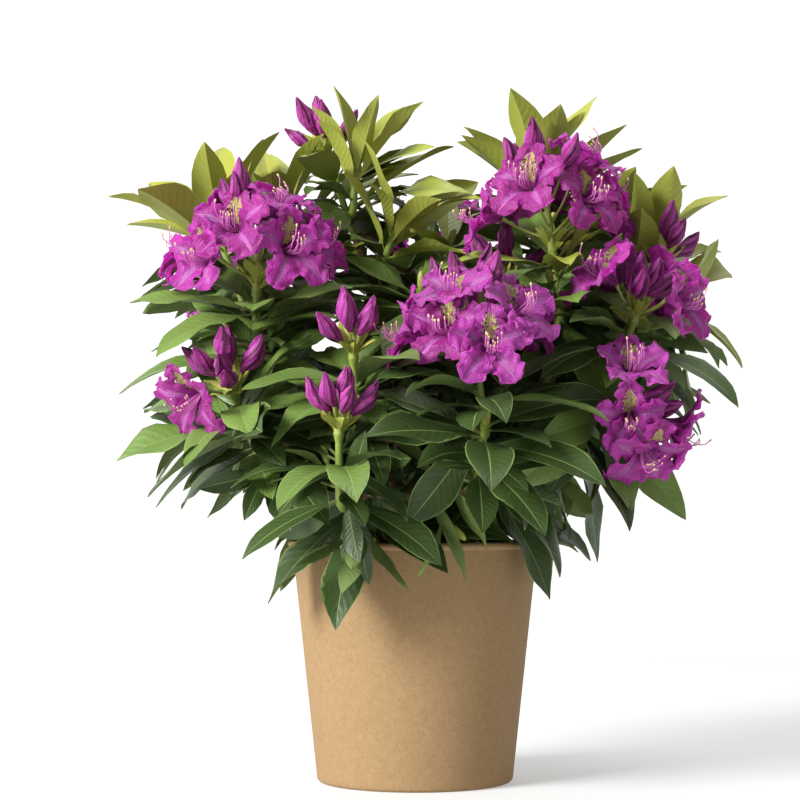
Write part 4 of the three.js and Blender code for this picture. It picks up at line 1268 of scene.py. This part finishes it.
# How far the trunk reaches into the soil, how long the green end of a twig is, and the radii of a
# flower's stalk from its foot to the flower.
TRUNK_IN_SOIL = 4
GREEN_LENGTH = 60
STALK_RADII = np.array((1.5, 1.05, 0.95, 0.95, 1.0, 1.25, 2.0))


def new_tree(name, inputs):
    """An empty tree of nodes for geometry, with its named inputs, and its two ends."""
    tree = bpy.data.node_groups.new(name, "GeometryNodeTree")
    tree.interface.new_socket("Geometry", in_out="INPUT", socket_type="NodeSocketGeometry")
    for label, kind, value in inputs:
        socket = tree.interface.new_socket(label, in_out="INPUT", socket_type="NodeSocket" + kind)
        if value is not None:
            socket.default_value = value
    tree.interface.new_socket("Geometry", in_out="OUTPUT", socket_type="NodeSocketGeometry")
    return tree, add(tree, "NodeGroupInput"), add(tree, "NodeGroupOutput")


def finish_tree(tree, shape, given, result):
    """Ends a tree: its shape made real, shaded smooth and given its finish."""
    even = add(tree, "GeometryNodeSetShadeSmooth",
               {"Geometry": add(tree, "GeometryNodeRealizeInstances", {"Geometry": shape})})
    done = add(tree, "GeometryNodeSetMaterial", {"Geometry": even, "Material": given.outputs["Skin"]})
    tree.links.new(done.outputs["Geometry"], result.inputs["Geometry"])


def of_point(tree, label, kind):
    """A value that each point carries under its label."""
    return add(tree, "GeometryNodeInputNamedAttribute", {"data_type": kind, "Name": label})


def times(tree, way, size):
    """A direction or a set of sizes, scaled by a value."""
    return add(tree, "ShaderNodeVectorMath", {"operation": "SCALE", 0: way, "Scale": size})


def grow(name, mesh, tree, settings):
    """Runs a tree on a mesh and returns the plain mesh that comes of it."""
    base = set_up(name + "_base", mesh)
    live = base.modifiers.new(name, "NODES")
    live.node_group = tree
    for item in tree.interface.items_tree:
        if item.item_type == "SOCKET" and item.in_out == "INPUT" and item.name in settings:
            live[item.identifier] = settings[item.name]
    done = bpy.data.meshes.new_from_object(base.evaluated_get(bpy.context.evaluated_depsgraph_get()))
    done.name = name
    bpy.data.objects.remove(base)
    return done


def limb_tree():
    """Skins middle lines with round wood: thickness from the line, relief from a noise along it."""
    tree, given, result = new_tree("limbs_from_lines", [
        ("Sides", "Int", 8), ("Relief", "Float", 0.0), ("Grain", "Float", 200.0),
        ("Skin", "Material", None)])
    spline = add(tree, "GeometryNodeMeshToCurve", {"Mesh": given.outputs["Geometry"]})
    ring = add(tree, "GeometryNodeCurvePrimitiveCircle",
               {"Radius": 1.0, "Resolution": given.outputs["Sides"]})
    skin = add(tree, "GeometryNodeCurveToMesh",
               {"Fill Caps": True, "Curve": spline, "Profile Curve": ring,
                "Scale": of_point(tree, "thick", "FLOAT")})
    grain = add(tree, "ShaderNodeTexNoise", {"Detail": 3.0, "Scale": given.outputs["Grain"]})
    amount = maths(tree, "MULTIPLY", maths(tree, "SUBTRACT", grain, 0.5), given.outputs["Relief"])
    push = times(tree, add(tree, "GeometryNodeInputNormal"), amount)
    rough = add(tree, "GeometryNodeSetPosition", {"Geometry": skin, "Offset": push})
    finish_tree(tree, rough, given, result)
    return tree


limbs_from_lines = limb_tree()


def lines_mesh(name, lines):
    """Middle lines as a mesh of edges, with the thickness at each point."""
    points = np.concatenate([p for p, _ in lines]) * MM
    thick = np.concatenate([r for _, r in lines]) * MM
    edges, at = [], 0
    for p, _ in lines:
        edges += [(at + i, at + i + 1) for i in range(len(p) - 1)]
        at += len(p)
    made = bpy.data.meshes.new(name)
    made.from_pydata(points.tolist(), edges, [])
    made.attributes.new("thick", "FLOAT", "POINT").data.foreach_set("value", thick.astype(np.float32))
    return made


def limb_piece(name, lines, skin, nodes, sides, relief=0.0, grain=200.0):
    """A piece of round limbs, with relief in millimetres and so many grains to a metre."""
    mesh = grow(name, lines_mesh(name + "_lines", lines), limbs_from_lines,
                {"Sides": sides, "Relief": relief * MM, "Grain": grain, "Skin": skin})
    piece(name, mesh, nodes)


def sampled(line, radius, low, high, count):
    """Points along part of a line, and the radius at each."""
    shares = np.linspace(low, high, count)
    return np.array([line.point(s) for s in shares]), np.array([radius(s) for s in shares])


wood = [sampled(limb["line"], limb["radius"], 0, 1, 26) for limb in limbs.values()]
trunk_points, _ = wood[0]
trunk_points[0][2] -= TRUNK_IN_SOIL
limb_piece("trunk_and_boughs", wood, bark_skin, LIMB_NODES, sides=14, relief=1.3, grain=260)

woody, green = [], []
for shoot in shoots:
    line = shoot["line"]
    tender = max(0.3, 1 - GREEN_LENGTH / line.length)
    woody.append(sampled(line, tapering(TWIG), 0, tender, 14))
    green.append(sampled(line, tapering(TWIG), tender, 1, 12))
    green.append(sampled(line, lambda s: TWIG["tip"] * (1 + 0.5 * (s - 0.95) / 0.05), 0.95, 1, 3))
for sprig in sprigs:
    line, tender = sprig["line"], SPRIG["green_from"]
    woody.append(sampled(line, lambda t: mix(*SPRIG["wood_radii"], t), 0, tender, 6))
    green.append(sampled(line, lambda t: mix(*SPRIG["green_radii"], t), tender, 1, 6))
limb_piece("twigs", woody, bark_skin, MASS_NODES, sides=8, relief=0.7, grain=300)
limb_piece("green_shoots", green, shoot_skin, MASS_NODES, sides=8, relief=0.4, grain=300)

stalks = []
for shoot in trussed:
    t = np.linspace(-0.1, 1, 8)
    spine = shoot["aim"] * TRUSSES[shoot["habit"]["truss"]]["rachis"]
    stalks.append((shoot["tip"] + spine * t[:, None], mix(RACHIS["root"], RACHIS["tip"] * 0.8, t)))
for floret in florets:
    t = np.linspace(0, 1, len(STALK_RADII))[:, None]
    bow = upper_of(floret["way"]) * -1.6
    path = floret["foot"] + floret["way"] * (floret["stalk"] * 1.05) * t + bow * np.sin(np.pi * t)
    stalks.append((path, STALK_RADII))
limb_piece("flower_stalks", stalks, stalk_skin, MASS_NODES, sides=6, relief=0.2, grain=400)
limb_piece("stamens", lines_of_stamens, filament_skin, MASS_NODES, sides=4)


def scatter_tree():
    """Sets a small body on each point, turned and sized as the point says."""
    tree, given, result = new_tree("bodies_on_points", [
        ("Length", "Float", 2.0), ("Width", "Float", 1.0), ("Roughen", "Float", 0.0), ("Seed", "Int", 1),
        ("Skin", "Material", None)])
    ball = add(tree, "GeometryNodeMeshIcoSphere", {"Radius": 1.0, "Subdivisions": 2})
    shift = add(tree, "FunctionNodeRandomValue",
                {"data_type": "FLOAT_VECTOR", 0: (-1, -1, -1), 1: (1, 1, 1),
                 "Seed": given.outputs["Seed"]})
    lump = add(tree, "GeometryNodeSetPosition",
               {"Geometry": ball, "Offset": times(tree, shift, given.outputs["Roughen"])})
    width = given.outputs["Width"]
    size = add(tree, "ShaderNodeCombineXYZ", {"X": width, "Y": width, "Z": given.outputs["Length"]})
    turned = add(tree, "FunctionNodeAlignRotationToVector",
                 {"axis": "Z", "Vector": of_point(tree, "way", "FLOAT_VECTOR")})
    put = add(tree, "GeometryNodeInstanceOnPoints",
              {"Points": given.outputs["Geometry"], "Instance": lump, "Rotation": turned,
               "Scale": times(tree, size, of_point(tree, "thick", "FLOAT"))})
    finish_tree(tree, put, given, result)
    return tree


bodies_on_points = scatter_tree()


def points_mesh(name, spots):
    """Points with a size and a direction each."""
    made = bpy.data.meshes.new(name)
    made.from_pydata([(p * MM).tolist() for p, _, _ in spots], [], [])
    made.attributes.new("thick", "FLOAT", "POINT").data.foreach_set("value", [s * MM for _, s, _ in spots])
    ways = np.array([w for _, _, w in spots], dtype=np.float32)
    made.attributes.new("way", "FLOAT_VECTOR", "POINT").data.foreach_set("vector", ways.ravel())
    return made


def body_piece(name, spots, skin, slot, nodes, **settings):
    """A piece of many small bodies, each on its point, with its length and width for a size of 1."""
    mesh = grow(name, points_mesh(name + "_points", spots), bodies_on_points, {"Skin": skin, **settings})
    piece(name, mesh, nodes)


body_piece("anthers", anthers, anther_skin, "blossom", MASS_NODES, Length=1.3, Width=0.75, Seed=3)

tips = [(s["tip"] + s["aim"] * 5, 1.0, s["aim"]) for s in shoots + sprigs if "truss" not in s["habit"]]
body_piece("leaf_buds", tips, terminal_bud_skin, "foliage", MASS_NODES, Length=8.0, Width=2.9, Seed=5)

# ---- Tub and soil --------------------------------------------------------------------------


def turned_piece(name, outline, skin, slot, uneven, sides):
    """A round piece from its outline, from the middle below round to the middle above.

    The solid that it stands for, named by slot, is hidden.
    """
    radius, height = np.array(outline, dtype=float).T
    turns = turns_of(sides)
    rings = np.stack((radius[:, None] * np.cos(turns), radius[:, None] * np.sin(turns),
                      height[:, None] + 0 * turns), axis=-1)
    heap = Heap()
    shape = pattern(len(radius), sides, turns, np.linspace(0, 1, len(radius)))
    heap.add(uneven(rings), shape, np.zeros((len(radius) - 1) * sides + 2, dtype=int))
    piece(name, heap.mesh(name, [skin], crisp_deg=40), [slot])


def arc(centre, radius, start, end, count):
    """Points on an arc between two angles in degrees."""
    return [(centre[0] + radius * math.cos(math.radians(a)), centre[1] + radius * math.sin(math.radians(a)))
            for a in np.linspace(start, end, count)]


# A round body ends below and above in a small flat face of this radius.
PIN = 0.5
# Where the paperboard laps over itself: the angle of its middle and half its width in degrees, and
# how far it stands out.
LAP = dict(at=62, half=5.2, out=0.6)

lip_height = TUB["height"] - TUB["lip"]
lip_centre = (TUB["top_radius"] + TUB["lip"] - TUB["wall"], lip_height)
foot_centre = (TUB["foot_radius"] - TUB["foot_round"], TUB["foot_round"])
foot = [(PIN, 0), (foot_centre[0] - 8, 0)] + arc(foot_centre, TUB["foot_round"], -90, -6, 6)
wall_heights = np.linspace(TUB["foot_round"] + 2, lip_height - TUB["lip"] - 0.6, 10)
outer_wall = [(wall_radius(h), h) for h in wall_heights]
inner_wall = [(wall_radius(h) - TUB["wall"], h) for h in np.linspace(lip_height - 1, TUB["floor"] + 2, 10)]
bottom = [(wall_radius(TUB["floor"]) - TUB["wall"] - 2, TUB["floor"]), (PIN, TUB["floor"])]
tub_outline = foot + outer_wall + arc(lip_centre, TUB["lip"], -80, 190, 14) + inner_wall + bottom


def lapped(rings):
    """Lifts the outer wall by the thickness of the board where the sheet laps over itself."""
    angle = np.degrees(np.arctan2(rings[..., 1], rings[..., 0]))
    over = np.abs(angle - LAP["at"]) < LAP["half"]
    over[: len(foot)] = over[len(foot) + len(outer_wall) :] = False
    grown = 1 + np.where(over, LAP["out"], 0) / np.maximum(1, np.linalg.norm(rings[..., :2], axis=-1))
    rings[..., :2] *= grown[..., None]
    return rings


turned_piece("paperboard_tub", tub_outline, kraft_skin, "tub", lapped, sides=180)

SOIL_FOOT = TUB["floor"] + 0.4
CRUMBS = dict(count=900, from_wall=3, sunk=0.6, radius=(0.7, 2.3))
side = [(wall_radius(h) - TUB["wall"] - SOIL["gap"] - 0.3, h) for h in (SOIL_FOOT, 60, 110, SOIL["sunk"])]
soil_radius = side[-1][0]
slope = [(mix(soil_radius, SOIL["flat_radius"], t), mix(SOIL["sunk"], SOIL["top"], t))
         for t in np.linspace(0.12, 1, 9)]
soil_outline = [(PIN, SOIL_FOOT)] + side + slope + [(r, SOIL["top"]) for r in (17, 8, PIN)]


def crumbly(rings):
    """Makes the top of the soil uneven, from 1.6 mm under its outline to 0.4 mm over it."""
    draw = source(77)
    top = rings[1 + len(side) :, :, 2]
    top += np.array([draw() for _ in range(top.size)]).reshape(top.shape) * 2 - 1.6
    return rings


turned_piece("soil_bed", soil_outline, soil_skin, "soil", crumbly, sides=72)

draw = source(4242)
crumbs = []
for _ in range(CRUMBS["count"]):
    out = math.sqrt(draw()) * (soil_radius - CRUMBS["from_wall"])
    turn = math.tau * draw()
    high = np.interp(out, (SOIL["flat_radius"], soil_radius), (SOIL["top"], SOIL["sunk"])) - CRUMBS["sunk"]
    radius = mix(*CRUMBS["radius"], draw() ** 2)
    way = np.array((draw() - 0.5, draw() - 0.5, draw()))
    crumbs.append((np.array((out * math.cos(turn), out * math.sin(turn), high)), radius, way))
body_piece("soil_crumbs", crumbs, soil_skin, "soil", ["soil"], Length=0.8, Width=1.1, Roughen=0.25, Seed=7)

# ---- Studio --------------------------------------------------------------------------------

# A sheet of paper in metres: the floor under the plant, the far floor from where it glows more, the
# bend up to the wall, and the top of the wall.
PAPER = dict(near=-6, glows_from=1.2, bends_from=2, bend=1.2, top=3.5, half_width=6)

sweep = bpy.data.meshes.new("studio_sweep")
profile = [(PAPER["near"], 0), (PAPER["glows_from"], 0), (PAPER["bends_from"], 0)]
profile += [(PAPER["bends_from"] + PAPER["bend"] * math.sin(a), PAPER["bend"] - PAPER["bend"] * math.cos(a))
            for a in np.linspace(0.1, math.pi / 2, 12)]
profile.append((PAPER["bends_from"] + PAPER["bend"], PAPER["top"]))
sweep.from_pydata([(x, y, z) for y, z in profile for x in (-PAPER["half_width"], PAPER["half_width"])], [],
                  [(2 * i, 2 * i + 1, 2 * i + 3, 2 * i + 2) for i in range(len(profile) - 1)])
sweep.shade_smooth()
for name, glow in (("studio_paper_near", 0.33), ("studio_paper_far", 0.5)):
    paper, _, _ = material(name, "#c2c2c2", 0.9,
                           **{"Emission Color": linear("#ffffff"), "Emission Strength": glow})
    sweep.materials.append(paper)
for n, face in enumerate(sweep.polygons):
    face.material_index = min(n, 1)
backdrop = set_up("studio_sweep", sweep)


def soft_box(name, spot, aim, size, power):
    """A round lamp, turned towards a point."""
    data = bpy.data.lights.new(name, "AREA")
    data.shape = "DISK"
    data.size = size
    data.energy = power
    made = set_up(name, data)
    made.location = spot
    way = np.array(aim) - np.array(spot)
    made.rotation_euler = (math.atan2(math.hypot(way[0], way[1]), -way[2]), 0, math.atan2(-way[0], way[1]))


soft_box("key_soft_box", (-2.5, -2.0, 1.75), (0, 0, 0.25), size=1.65, power=244)
soft_box("fill_soft_box", (1.6, -1.3, 0.9), (0, 0, 0.28), size=1.4, power=0.5)
soft_box("top_soft_box", (0.1, 0.4, 1.9), (0, 0, 0.3), size=1.2, power=11)

scene.world = bpy.data.worlds.new("studio_air")
scene.world.use_nodes = True
air = scene.world.node_tree.nodes["Background"]
air.inputs["Color"].default_value = linear("#ffffff")
air.inputs["Strength"].default_value = 0.4
scene.view_settings.view_transform = "Standard"

camera = set_up("camera", bpy.data.cameras.new("camera"))
camera.data.lens = 97.4
camera.data.sensor_width = 36
camera.location = (-0.011, -1.6, 0.205)
camera.rotation_euler = (math.radians(92.66), 0, 0)
scene.camera = camera
